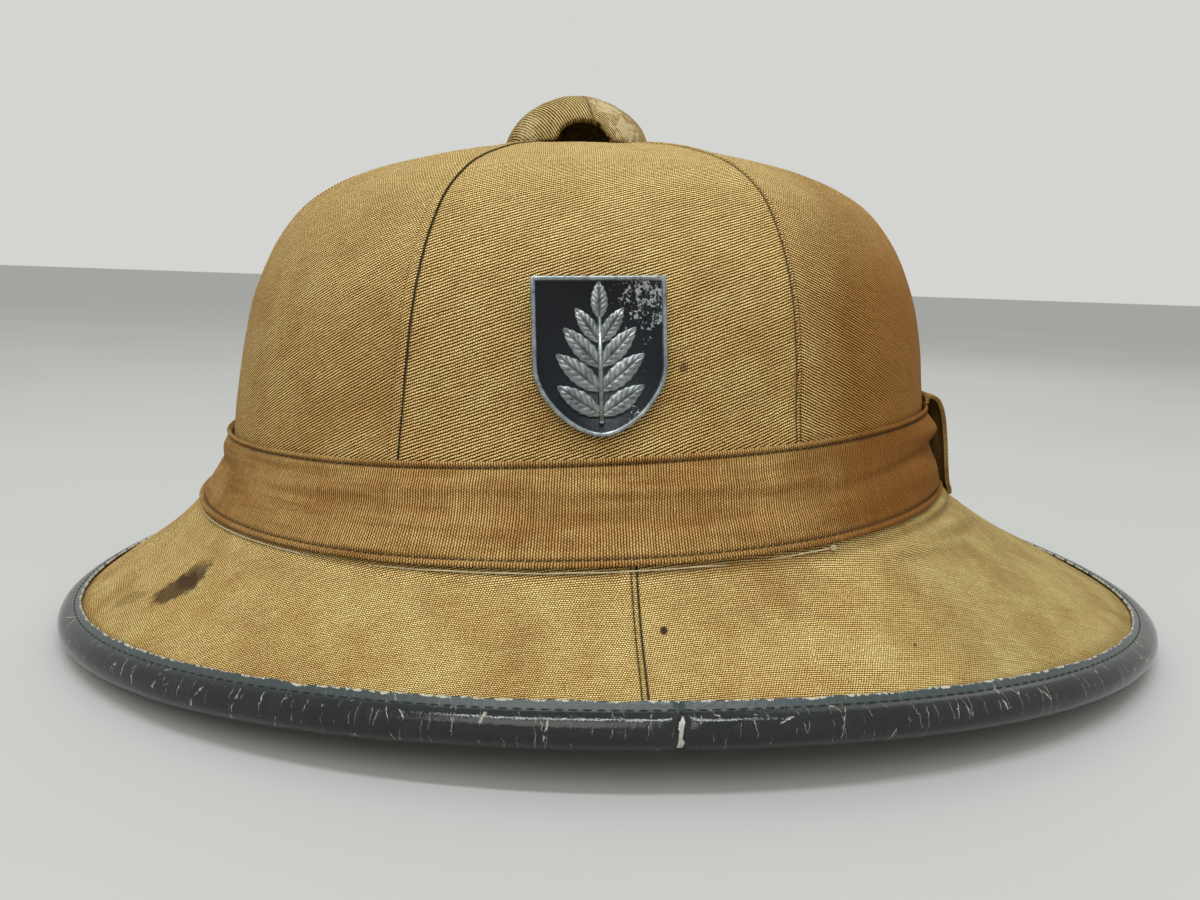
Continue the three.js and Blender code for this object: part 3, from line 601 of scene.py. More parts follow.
def canvas_finish(name, colours, rib, thread, relief, grain=0.5, contrast=1.0, marks=(), worn=(),
                  rear_shade=0.0, front_shade=0.0, top_fade=0.0, low_shade=0.0, streaks=0.0,
                  rear_tint=None):
    """Ribbed canvas: bright threads with dark furrows between them, faded and soiled in patches; it can be
    darkened towards the bottom and the front as painted shade, and towards the rear by soil and painted
    shade.
    """
    pale, middle, dark = colours
    finish = Finish(name, roughness=0.92, specular_ior_level=0.12)
    place = finish.place()
    millimetres = finish.vector("SCALE", finish.cloth())
    millimetres.node.inputs["Scale"].default_value = 1000.0
    wander = finish.noise(millimetres, 0.16, 2.0).outputs["Color"]
    wander = finish.vector("SUBTRACT", wander, (0.5, 0.5, 0.5))
    wander = finish.vector("MULTIPLY", wander, (0.5, 0.5, 0.0))
    shiver = finish.noise(millimetres, 1.3, 2.0).outputs["Color"]
    shiver = finish.vector("SUBTRACT", shiver, (0.5, 0.5, 0.5))
    shiver = finish.vector("MULTIPLY", shiver, (0.5, 0.32, 0.0))
    warped = finish.vector("ADD", finish.vector("ADD", millimetres, wander), shiver)
    split = finish.add("ShaderNodeSeparateXYZ", {0: warped})
    across = finish.math("DIVIDE", split.outputs["Y"], rib)
    line = finish.math("FLOOR", finish.math("ADD", across, 0.25))
    ridge = finish.math("SINE", finish.math("MULTIPLY", across, math.tau))
    ridge = finish.math("MULTIPLY_ADD", ridge, 0.5, 0.5)
    steps = finish.math("MULTIPLY", split.outputs["X"], math.tau / thread)
    knot = finish.math("SINE", finish.math("MULTIPLY_ADD", line, math.pi, steps))
    knot = finish.math("MULTIPLY_ADD", knot, 0.5, 0.5)
    lumps = finish.math("MULTIPLY_ADD", knot, grain, 1.0 - grain)
    height = finish.math("MULTIPLY", ridge, lumps)
    along = finish.add("ShaderNodeCombineXYZ", {
        "X": finish.math("MULTIPLY", split.outputs["X"], 0.11),
        "Y": finish.math("MULTIPLY", line, 0.73),
    })
    slub = finish.noise(along.outputs[0], 1.0, 2.0).outputs["Fac"]
    speck = finish.noise(millimetres, 1.1, 2.0).outputs["Fac"]
    broad = finish.noise(place, 17.0, 4.0, 0.6).outputs["Fac"]
    patch = finish.noise(place, 75.0, 4.0, 0.62).outputs["Fac"]
    soil = finish.noise(place, 34.0, 5.0, 0.65).outputs["Fac"]
    xyz = finish.add("ShaderNodeSeparateXYZ", {0: place})
    colour = finish.mix(finish.ramp(patch, 0.36, 0.66), middle, pale)
    colour = finish.mix(finish.ramp(soil, 0.48, 0.72, 0.0, 0.5), colour, dark)
    if streaks:
        drawn = finish.vector("MULTIPLY", millimetres, (0.3, 0.028, 1.0))
        streak = finish.noise(drawn, 1.0, 4.0, 0.6).outputs["Fac"]
        colour = finish.mix(finish.ramp(streak, 0.46, 0.66, 0.0, streaks), colour, dark)
    # Paler towards the top of the crown.
    if top_fade:
        fade = finish.ramp(xyz.outputs["Z"], 0.08, 0.14, 0.0, top_fade)
        amount = finish.math("MULTIPLY", fade, finish.ramp(broad, 0.3, 0.6, 0.4, 1.0))
        colour = finish.mix(amount, colour, pale)
    # Painted shade: darker towards the bottom, mixed towards the dark canvas colour.
    if low_shade:
        low = finish.ramp(finish.math("MULTIPLY_ADD", broad, 0.05, xyz.outputs["Z"]),
                          0.125, 0.075, 0.0, low_shade)
        colour = finish.mix(low, colour, dark)
    # Painted shade: darker towards the front, mixed towards the dark canvas colour.
    if front_shade:
        ahead = finish.ramp(finish.math("MULTIPLY_ADD", broad, 0.05, xyz.outputs["Y"]),
                            -0.02, -0.08, 0.0, front_shade)
        colour = finish.mix(ahead, colour, dark)
    # Region towards the rear: there the weave is drawn flatter, and the brim's canvas gets its painted shade.
    smooth = finish.ramp(finish.math("MULTIPLY_ADD", patch, 0.02, xyz.outputs["Y"]), 0.05, 0.085, 0.0, 0.5)
    # Darker towards the rear and low down: partly soil, partly painted shade.
    if rear_shade:
        behind = finish.ramp(finish.math("MULTIPLY_ADD", broad, 0.05, xyz.outputs["Y"]), 0.046, 0.07)
        below = finish.ramp(xyz.outputs["Z"], 0.15, 0.105, 0.3, 1.0)
        side = finish.ramp(finish.math("MULTIPLY_ADD", broad, 0.06, xyz.outputs["X"]),
                           -0.07, 0.07, 0.3 * rear_shade, rear_shade)
        amount = finish.math("MULTIPLY", finish.math("MULTIPLY", behind, below), side)
        colour = finish.mix(amount, colour, dark)
    tone = finish.math("MULTIPLY_ADD", slub, 0.5, 0.75)
    tone = finish.math("MULTIPLY", tone, finish.math("MULTIPLY_ADD", speck, 0.5, 0.75))
    furrow = finish.ramp(height, 0.04, 0.74, 1.0 - 0.86 * contrast, 1.0 + 0.72 * contrast)
    furrow = finish.add("ShaderNodeMix", {"Factor": smooth, "A": furrow, "B": 0.9}).outputs["Result"]
    tone = finish.math("MULTIPLY", tone, furrow)
    grey = finish.add("ShaderNodeCombineXYZ", {
        "X": tone,
        "Y": finish.math("POWER", tone, 1.26),
        "Z": finish.math("POWER", tone, 1.55),
    })
    colour = finish.mix(1.0, colour, grey.outputs[0], "MULTIPLY")
    # Painted shade: the rear of the brim is multiplied darker and more olive.
    if rear_tint:
        colour = finish.mix(smooth, colour, rear_tint, "MULTIPLY")
    # Darker where the mesh's attribute is set: worn edges and sewn joints, and painted shade in grooves,
    # creases and under the band.
    edge = tuple(c * 0.35 for c in dark)
    colour = finish.mix(finish.math("MULTIPLY", finish.wear(), 0.75), colour, edge)
    rough = finish.math("MULTIPLY_ADD", finish.noise(place, 420.0, 3.0).outputs["Fac"], 0.9, -0.45)
    for mark in marks:
        share = mark_share(finish, place, mark, rough)
        colour = finish.mix(share, colour, (0.035, 0.014, 0.008))
    blotch = finish.math("SUBTRACT", finish.noise(place, 520.0, 4.0, 0.7).outputs["Fac"], 0.4)
    for mark in worn:
        share = mark_share(finish, place, mark, finish.math("MULTIPLY", blotch, 3.4))
        colour = finish.mix(share, colour, (0.66, 0.56, 0.34))
    finish.set("Base Color", colour)
    lift = finish.math("MULTIPLY_ADD", slub, 0.35, height)
    strength = finish.math("MULTIPLY_ADD", smooth, -0.6, 0.85)
    normal = finish.bump(lift, relief * MM, strength)
    normal = finish.bump(patch, 0.0008, 0.3, normal)
    finish.set("Normal", normal)
    return finish.material


def thread_finish(name, colour):
    finish = Finish(name, roughness=0.85)
    tone = finish.noise(finish.place(), 900.0, 2.0).outputs["Fac"]
    finish.set("Base Color", finish.mix(finish.ramp(tone, 0.3, 0.7), tuple(c * 0.6 for c in colour), colour))
    finish.set("Normal", finish.bump(tone, 0.0001, 0.5))
    return finish.material


def cork_finish():
    finish = Finish("pressed cork", roughness=0.95)
    place = finish.place()
    grain = finish.add("ShaderNodeTexVoronoi", {"Vector": place, "Scale": 420.0, "Randomness": 1.0})
    crumb = finish.noise(place, 900.0, 4.0).outputs["Fac"]
    broad = finish.noise(place, 30.0, 3.0).outputs["Fac"]
    colour = finish.mix(grain.outputs["Color"], (0.36, 0.23, 0.12), (0.58, 0.42, 0.25))
    colour = finish.mix(finish.ramp(broad, 0.35, 0.7, 0.0, 0.5), colour, (0.3, 0.19, 0.1))
    pits = finish.ramp(crumb, 0.62, 0.72)
    colour = finish.mix(pits, colour, (0.14, 0.08, 0.045))
    finish.set("Base Color", colour)
    height = finish.math("SUBTRACT", finish.math("MULTIPLY", grain.outputs["Distance"], 0.5), pits)
    finish.set("Normal", finish.bump(height, 0.0006, 0.7))
    return finish.material


def binding_finish():
    """Dark oilcloth with a soft gloss, fine cracks across the roll and pale frayed edges."""
    finish = Finish("dark oilcloth", roughness=0.3, specular_ior_level=0.42)
    place = finish.place()
    millimetres = finish.vector("SCALE", finish.cloth())
    millimetres.node.inputs["Scale"].default_value = 1000.0
    wander = finish.noise(millimetres, 0.6, 3.0).outputs["Color"]
    warped = finish.vector("ADD", millimetres, finish.vector("MULTIPLY", wander, (1.6, 1.2, 0.0)))
    split = finish.add("ShaderNodeSeparateXYZ", {0: warped})
    stretched = finish.vector("MULTIPLY", warped, (1.0, 0.16, 1.0))
    cells = finish.add("ShaderNodeTexVoronoi", {"Vector": stretched, "Scale": 0.26},
                       feature="DISTANCE_TO_EDGE")
    fine = finish.add("ShaderNodeTexVoronoi", {"Vector": stretched, "Scale": 0.7}, feature="DISTANCE_TO_EDGE")
    gate = finish.noise(finish.vector("MULTIPLY", millimetres, (1.0, 1.6, 1.0)), 0.16, 3.0).outputs["Fac"]
    on_roll = finish.ramp(split.outputs["Y"], 17.0, 11.0)
    crack = finish.ramp(cells.outputs["Distance"], 0.01, 0.003)
    crack = finish.math("MULTIPLY", crack, finish.ramp(gate, 0.49, 0.56))
    crack = finish.math("MULTIPLY", crack, on_roll)
    hair = finish.ramp(fine.outputs["Distance"], 0.05, 0.0)
    hair = finish.math("MULTIPLY", hair, finish.ramp(gate, 0.42, 0.62, 0.0, 0.14))
    colour = finish.mix(finish.noise(place, 60.0, 4.0).outputs["Fac"],
                        (0.006, 0.008, 0.0075), (0.014, 0.018, 0.017))
    colour = finish.mix(hair, colour, (0.12, 0.115, 0.1))
    colour = finish.mix(finish.math("MULTIPLY", crack, 0.85), colour, (0.45, 0.43, 0.37))
    # The flat flange is painted a bluish grey, which stands in part for the reflection of the light above it.
    flat = finish.ramp(split.outputs["Y"], 3.4, 2.4)
    colour = finish.mix(finish.math("MULTIPLY", flat, 0.7), colour, (0.056, 0.078, 0.078))
    chips = finish.noise(millimetres, 0.3, 6.0, 0.72).outputs["Fac"]
    frayed = finish.ramp(finish.math("MULTIPLY_ADD", chips, 2.4, finish.wear()), 2.1, 2.2)
    colour = finish.mix(frayed, colour, (0.5, 0.47, 0.38))
    spots = finish.ramp(finish.noise(millimetres, 0.5, 5.0, 0.72).outputs["Fac"], 0.735, 0.75)
    colour = finish.mix(finish.math("MULTIPLY", spots, flat), colour, (0.55, 0.53, 0.47))
    finish.set("Base Color", colour)
    gloss = finish.math("MULTIPLY_ADD", finish.noise(place, 300.0, 4.0).outputs["Fac"], 0.12, 0.02)
    gloss = finish.math("ADD", gloss, finish.math("MULTIPLY", flat, 0.2))
    finish.set("Roughness", finish.math("ADD", gloss, finish.math("MULTIPLY", frayed, 0.4)))
    height = finish.math("SUBTRACT", finish.noise(millimetres, 0.8, 4.0).outputs["Fac"], crack)
    height = finish.math("SUBTRACT", height, finish.math("MULTIPLY", hair, 0.6))
    finish.set("Normal", finish.bump(height, 0.00025, 0.35))
    return finish.material


def badge_metal_finish():
    finish = Finish("tarnished silver metal", metallic=0.92, roughness=0.42)
    place = finish.place()
    tone = finish.noise(place, 260.0, 5.0, 0.65).outputs["Fac"]
    colour = finish.mix(finish.ramp(tone, 0.3, 0.7), (0.13, 0.15, 0.155), (0.42, 0.47, 0.475))
    dirt = finish.ramp(finish.noise(place, 700.0, 3.0).outputs["Fac"], 0.52, 0.7, 0.0, 0.6)
    colour = finish.mix(dirt, colour, (0.07, 0.065, 0.065))
    colour = finish.mix(finish.math("MULTIPLY", finish.wear(), 0.9), colour, (0.035, 0.024, 0.02))
    finish.set("Base Color", colour)
    finish.set("Roughness", finish.ramp(tone, 0.3, 0.7, 0.48, 0.26))
    finish.set("Normal", finish.bump(tone, 0.0001, 0.5))
    return finish.material


def enamel_finish():
    """Black enamel field, chipped to silver specks towards its upper corner at the rear."""
    finish = Finish("chipped black enamel", roughness=0.35, specular_ior_level=0.25)
    place = finish.place()
    xyz = finish.add("ShaderNodeSeparateXYZ", {0: place})
    rear = finish.ramp(xyz.outputs["Y"], -0.024, -0.01)
    upper = finish.ramp(xyz.outputs["Z"], 0.09, 0.098, 0.3, 1.0)
    lower = finish.ramp(xyz.outputs["Z"], 0.083, 0.075, 0.0, 0.7)
    amount = finish.math("MULTIPLY", rear, finish.math("MAXIMUM", upper, lower))
    specks = finish.noise(place, 1500.0, 3.0, 0.7).outputs["Fac"]
    blots = finish.noise(place, 420.0, 4.0, 0.7).outputs["Fac"]
    level = finish.math("MULTIPLY_ADD", amount, -0.185, 0.7)
    chip = finish.math("GREATER_THAN", finish.math("MULTIPLY_ADD", blots, 0.5,
                                                   finish.math("MULTIPLY", specks, 0.5)), level)
    colour = finish.mix(chip, (0.008, 0.01, 0.014), (0.5, 0.52, 0.54))
    finish.set("Base Color", colour)
    finish.set("Metallic", finish.math("MULTIPLY", chip, 0.8))
    finish.set("Roughness", finish.ramp(specks, 0.3, 0.7, 0.28, 0.5))
    finish.set("Normal", finish.bump(finish.math("SUBTRACT", specks, chip), 0.00012, 0.6))
    return finish.material


def eyelet_finish():
    finish = Finish("dull grey metal", metallic=0.85, roughness=0.5)
    tone = finish.noise(finish.place(), 300.0, 4.0).outputs["Fac"]
    finish.set("Base Color", finish.mix(finish.ramp(tone, 0.3, 0.7), (0.2, 0.22, 0.25), (0.42, 0.45, 0.5)))
    finish.set("Normal", finish.bump(tone, 0.0001, 0.4))
    return finish.material


def floor_finish():
    finish = Finish("pale floor", roughness=0.9)
    tone = finish.noise(finish.place(), 3.0, 2.0).outputs["Fac"]
    finish.set("Base Color", finish.mix(finish.ramp(tone, 0.3, 0.7), (0.5, 0.5, 0.49), (0.53, 0.53, 0.52)))
    return finish.material


# Pieces

def build_shell():
    angles = np.linspace(0, 360, 181)
    places = np.linspace(PLACES[0], FACE_END, 64)
    points, normals = ring_face(angles, places)
    points = points - normals * (CANVAS + LAYER_GAP)
    piece = grid_object("cork_shell", points, closes=True)
    return thicken(piece, SHELL)


def gore_points(gore):
    """Points of one gore, evenly spaced, but close together near its seams."""
    angles = np.linspace(gore.start, gore.stop, 241)
    places = np.concatenate([
        np.linspace(PLACES[1], PLACES[5], 30)[:-1],
        np.linspace(PLACES[5], place_of_height(CANVAS_JOINT + 0.2), 50),
    ])
    points, normals = face(angles, places)
    lengths = lengths_along(points)
    near_start = np.array([0.2, 0.7, 1.4, 2.4])
    near_stop = np.array([6.4, 5.4, 4.4, 3.5, 2.9, 2.4, 2.0, 1.7, 1.45, 1.2, 0.95, 0.7, 0.45, 0.2])
    drawn, outs, across = [], [], []
    for row in range(len(places)):
        width = lengths[row, -1]
        scale = min(1.0, width / 24)
        middle = np.linspace(near_start[-1] * scale, width - near_stop[0] * scale, 34)[1:-1]
        at = np.concatenate([near_start * scale, middle, width - near_stop * scale])
        drawn.append(np.stack([np.interp(at, lengths[row], points[row, :, k]) for k in range(3)], -1))
        outs.append(np.stack([np.interp(at, lengths[row], normals[row, :, k]) for k in range(3)], -1))
        across.append(np.stack([at, np.full_like(at, width)], -1))
    return np.array(drawn), np.array(outs), np.array(across), places


def welt_height(distance, places, groove_at):
    """Rise of the lapped seam at a distance from its edge; pressed flat behind the band."""
    fold = np.sqrt(np.clip(1 - ((0.6 - np.minimum(distance, 0.6)) / 0.5) ** 2, 0, 1))
    back = 1 - ease((distance - 3.0) / 2.4)
    groove = 0.24 * bump_over(distance, groove_at, 0.3)
    pressed = 1 - 0.7 * ease((places - place_of_height(82)) / 8)
    top = 0.4 + 0.6 * ease((places - PLACES[1] - 6) / 10)
    if groove_at < 2:
        rise = 0.3 * fold * back + 0.5 * bump_over(distance, groove_at * 0.52, 0.42)
    else:
        rise = 0.42 * fold * back
    return (rise - groove) * (pressed * top)


def build_gore(gore):
    points, normals, across, places = gore_points(gore)
    from_start = across[:, :, 0]
    to_stop = across[:, :, 1] - across[:, :, 0]
    down = places[:, None]
    rise = welt_height(to_stop, down, gore.groove)
    rise = (rise + 0.16 * ripple(from_start, down, 24.0, len(gore.name))
            * ease(from_start / 6) * ease(to_stop / 9))
    rise = rise - 0.1 * (1 - ease(from_start / 1.4))
    points = points + normals * rise[:, :, None]
    turn = math.radians(gore.rib)
    u = from_start - across[:, :, 1] / 2
    v = -np.broadcast_to(down, u.shape)
    cloth = np.stack([u * math.cos(turn) + v * math.sin(turn), -u * math.sin(turn) + v * math.cos(turn)], -1)
    # Darker along each seam: partly the sewn joint itself, partly painted shade in its groove and under the
    # lap's folded edge.
    depth = 1.0 if gore.groove < 2 else 0.3
    wear = np.maximum(depth * (1 - ease(to_stop / 0.5)), 0.45 * (1 - ease((from_start - 0.1) / 0.5)))
    wear = np.maximum(wear, 0.9 * depth * bump_over(to_stop, gore.groove, 0.3))
    piece = grid_object(gore.name + "_canvas", points, cloth, wear)
    return thicken(piece, CANVAS - 0.1)


def gore_seam_paths():
    """Stitch lines of the crown: one in the valley of every seam, and one on the narrow welts."""
    paths = []
    for gore in GORES:
        points, normals, across, places = gore_points(gore)
        to_stop = across[:, :, 1] - across[:, :, 0]
        for distance in (0.02, gore.groove):
            if distance > 2:
                continue
            line, outs = [], []
            for row in range(2, len(places)):
                at = to_stop[row][::-1]
                lift = float(welt_height(np.array(distance), places[row], gore.groove)) + 0.05
                point = [np.interp(distance, at, points[row, ::-1, k]) for k in range(3)]
                out = np.array([np.interp(distance, at, normals[row, ::-1, k]) for k in range(3)])
                line.append(np.array(point) + out * lift)
                outs.append(out)
            paths.append((np.array(line), np.array(outs)))
    return paths


def brim_rise(angles, places):
    """Soft ridges and unevenness of the brim's cloth."""
    band_edge = place_of_height(BAND_BOTTOM)
    behind = 115 * np.sin(np.radians(angles))
    out = places - band_edge + 1.2 * BAND_BOTTOM_RISE * behind
    rise = np.zeros(np.broadcast(angles, places).shape)
    for ridge in BRIM_RIDGES:
        away = (angles - ridge.angle + 180) % 360 - 180
        rise = (rise + ridge.height * bump_over(away, 0, ridge.along)
                * bump_over(out, ridge.out + ridge.tilt * away, ridge.across))
    rise = rise + 0.22 * ripple(angles * 2.0, places, 30.0, 5)
    return rise * ease((FACE_END - places - 7) / 8)


def brim_crease_shade(angles, places):
    """Painted shade in lines on the brim, just below its soft ridges."""
    out = places - place_of_height(BAND_BOTTOM) + 1.2 * BAND_BOTTOM_RISE * 115 * np.sin(np.radians(angles))
    crease_shade = np.zeros(np.broadcast(angles, places).shape)
    for ridge in BRIM_RIDGES:
        away = (angles - ridge.angle + 180) % 360 - 180
        below = ridge.out + ridge.tilt * away + 1.3 * ridge.across
        depth = 0.3 * min(ridge.height, 1.6)
        crease_shade = np.maximum(crease_shade, depth * bump_over(away, 0, ridge.along) * bump_over(out, below, 1.0))
    return crease_shade


def build_cover(cover):
    fine = np.linspace(cover.start, cover.stop, 721)
    places = np.concatenate([
        np.linspace(place_of_height(CANVAS_JOINT - 0.2), CROWN_FOOT, 12)[:-1],
        np.linspace(CROWN_FOOT, CROWN_FOOT + 14, 24)[:-1],
        np.linspace(CROWN_FOOT + 14, FACE_END, 26),
    ])
    points, normals = face(fine, places)
    lengths = lengths_along(points)
    laps = cover.name.endswith("front")
    near = np.array([0.2, 0.5, 0.8, 1.1, 1.4, 1.7, 2.0, 2.4, 3.0, 4.0, 5.4])
    drawn, at_all = [], []
    for row in range(len(places)):
        width = lengths[row, -1]
        at = np.concatenate([near, np.linspace(near[-1], width - near[-1], 200)[1:-1], width - near[::-1]])
        angle = np.interp(at, lengths[row], fine)
        point = np.stack([np.interp(at, lengths[row], points[row, :, k]) for k in range(3)], -1)
        out = np.stack([np.interp(at, lengths[row], normals[row, :, k]) for k in range(3)], -1)
        edge = np.minimum(at, width - at)
        rise = brim_rise(angle, np.full_like(angle, places[row]))
        if laps:
            behind = ease((places[row] - place_of_height(BAND_BOTTOM) + 1) / 2)
            fold = np.sqrt(np.clip(1 - ((0.6 - np.minimum(edge, 0.6)) / 0.5) ** 2, 0, 1))
            lap = 0.5 * fold * (1 - ease((edge - 2.6) / 2.4)) - 0.2 * bump_over(edge, LAP_STITCH, 0.3)
            under = ease((FACE_END - places[row] - 5.2) / 1.5)
            rise = rise + lap * behind * under
        drawn.append(point + out * rise[:, None])
        at_all.append(np.stack([at, np.full_like(at, width), angle], -1))
    drawn, at_all = np.array(drawn), np.array(at_all)
    edge = np.minimum(at_all[:, :, 0], at_all[:, :, 1] - at_all[:, :, 0])
    spread = 0.86
    middle = (cover.start + cover.stop) / 2
    turn = np.radians((at_all[:, :, 2] - middle) * spread + cover.rib + middle)
    radius = (places[:, None] - CROWN_FOOT) + 112.0 / spread
    cloth = np.stack([radius * np.cos(turn), radius * np.sin(turn)], -1)
    # Darker along the laps' edges and stitch line: partly the sewn joint, partly painted shade.
    wear = 0.9 * (1 - ease((edge - 0.15) / 0.4))
    if laps:
        wear = np.maximum(wear, 0.9 * bump_over(edge, LAP_STITCH, 0.26))
    # Painted shadow on the brim just below the band, and painted shade where the brim meets the binding's
    # flange.
    shadow = 0.6 * bump_over(places[:, None], place_of_height(BAND_BOTTOM) + 1.0, 1.4)
    seat = 0.5 * bump_over(places[:, None], FACE_END - FLANGE_REACH + SLOT_FLOOR, 1.0)
    wear = np.clip(np.maximum(wear, shadow + seat), 0, 1)
    # Painted shade in the creases below the brim's ridges.
    wear = np.maximum(wear, brim_crease_shade(at_all[:, :, 2], places[:, None]))
    piece = grid_object(cover.name + "_canvas", drawn, cloth, wear)
    return thicken(piece, CANVAS - 0.1)


def cover_seam_paths():
    """Two stitch lines along each lap of the brim's front cover."""
    paths = []
    for angle, side in ((COVERS[0].stop, -1), (COVERS[0].start, 1)):
        fine = angle + side * np.linspace(0.0, 4.0, 40)
        places = np.linspace(place_of_height(BAND_BOTTOM), FACE_END - FLANGE_REACH, 40)
        points, normals = face(fine, places)
        lengths = lengths_along(points)
        normals = normals * side
        for distance, height in ((0.0, 0.1), (LAP_STITCH, 0.48)):
            line, outs = [], []
            for row in range(len(places)):
                point = np.array([np.interp(distance, lengths[row], points[row, :, k]) for k in range(3)])
                out = np.array([np.interp(distance, lengths[row], normals[row, :, k]) for k in range(3)])
                rise = float(brim_rise(np.array(angle), np.array(places[row])))
                line.append(point + out * (height + rise))
                outs.append(out)
            paths.append((np.array(line), np.array(outs)))
    return paths


def band_face(angles, shares):
    """Points and directions on the crown's wall behind the band, bottom to top, and the wall's place."""
    wall = face_rows(angles)[len(CROWN) - 2]
    behind = wall[:, 1] - CROWN_CENTRE
    bottom = BAND_BOTTOM + BAND_BOTTOM_RISE * behind
    top = BAND_TOP + BAND_TOP_RISE * behind
    places = np.linspace(place_of_height(80), CROWN_FOOT + 4, 120)
    points, normals = face(angles, places)
    drawn = np.empty((len(shares), len(angles), 3))
    outs = np.empty_like(drawn)
    for column in range(len(angles)):
        at = place_of_height(bottom[column] + (top[column] - bottom[column]) * shares)
        for k in range(3):
            drawn[:, column, k] = np.interp(at, places, points[:, column, k])
            outs[:, column, k] = np.interp(at, places, normals[:, column, k])
    outs /= np.linalg.norm(outs, axis=2)[:, :, None]
    return drawn, outs


def band_proud(angles, shares):
    """How far the band's face stands off the wall."""
    angle, share = np.meshgrid(angles, shares)
    width = BAND_TOP - BAND_BOTTOM
    from_edge = np.minimum(share, 1 - share) * width
    roll = np.sqrt(np.clip(1 - ((from_edge - PIPING / 2) / (PIPING / 2)) ** 2, 0, 1))
    piping = 1.2 + 0.75 * roll
    body = 1.45 + 0.25 * ripple(angle * 1.9, share * 14, 34.0, 3) + 0.2 * ease((from_edge - 2) / 4)
    for fold in BAND_FOLDS:
        away = (angle - fold.angle + 180) % 360 - 180
        along = bump_over(away, 0, fold.along)
        body = body + fold.height * along * bump_over(share, fold.share + fold.tilt * away, fold.across)
    body = np.maximum(body, 1.28)
    groove = 0.3 * bump_over(from_edge, PIPING + 0.3, 0.35)
    inner = ease((from_edge - PIPING) / 1.2)
    proud = np.where(from_edge <= PIPING, piping, 1.28 + (body - 1.28) * inner - groove)
    pinch = bump_over((angle - KEEPER_ANGLE + 180) % 360 - 180, 0, 4.2)
    return proud + (1.1 - proud) * np.minimum(1, 1.5 * pinch) * (share > 0) * 1.0, from_edge


def build_band():
    angles = np.linspace(-180, 180, 481)
    width = BAND_TOP - BAND_BOTTOM
    fine = np.array([0.0, 0.08, 0.2, 0.36, 0.54, 0.72, 0.9, 1.05,
                     1.16, 1.25, 1.4, 1.6, 1.85, 2.2, 2.7, 3.4]) / width
    shares = np.concatenate([fine, np.linspace(fine[-1], 1 - fine[-1], 26)[1:-1], 1 - fine[::-1]])
    points, normals = band_face(angles, shares)
    proud, from_edge = band_proud(angles, shares)
    points = points + normals * proud[:, :, None]
    lengths = lengths_along(points[len(shares) // 2][None])[0]
    v = np.broadcast_to((shares * width)[:, None], proud.shape)
    cloth = np.stack([v, np.broadcast_to(lengths, proud.shape)], -1)
    # Darker in the groove beside the piping, where it is sewn: partly the joint, partly painted shade.
    wear = 0.6 * bump_over(from_edge, PIPING + 0.3, 0.35)
    piece = grid_object("band_canvas_strip", points, cloth, wear, closes=True, upwards=True)
    return thicken(piece, BAND_CLOTH - 0.1)


def band_stitch_paths():
    angles = np.linspace(-180, 180, 721)
    width = BAND_TOP - BAND_BOTTOM
    paths = []
    for share in ((PIPING + 0.3) / width, 1 - (PIPING + 0.3) / width):
        shares = np.array([share, share + 0.001])
        points, normals = band_face(angles, shares)
        proud, _ = band_proud(angles, shares)
        paths.append(((points + normals * (proud + 0.05)[:, :, None])[0], normals[0]))
    return paths


def band_thread_points():
    """A pale thread that runs below the band's lower edge along the left side and ends in a knot."""
    angles = np.linspace(-68, 26, 240)
    points, normals = band_face(angles, np.array([-0.034, -0.03]))
    hidden = bump_over(angles, -33, 7) + bump_over(angles, 15, 4.5)
    lift = 0.55 + 0.12 * np.sin(angles * 0.9) - 1.0 * hidden
    rise = brim_rise(angles, np.full_like(angles, place_of_height(BAND_BOTTOM - 1.3)))
    line = points[0] + normals[0] * (lift + rise)[:, None]
    turn = np.linspace(0, 2.2 * math.tau, 40)[:, None]
    size = THREAD_KNOT * np.linspace(1, 0.5, 40)[:, None]
    knot = (line[-1] + normals[0, -1] * 0.5
            + size * (np.sin(turn) * (0, 0, 1) + (1 - np.cos(turn)) * (0, 1, 0)))
    return np.concatenate([line, knot[2:]])


def keeper_frame():
    place = np.array([KEEPER_ANGLE, KEEPER_ANGLE + 1.0])
    wall, _ = face(place, place_of_height([BAND_TOP, BAND_TOP - 1]))
    middle = wall[0, 0]
    along = wall[0, 1] - wall[0, 0]
    along[2] = 0
    along /= np.linalg.norm(along)
    out = np.array([along[1], -along[0], 0])
    return middle, along, out


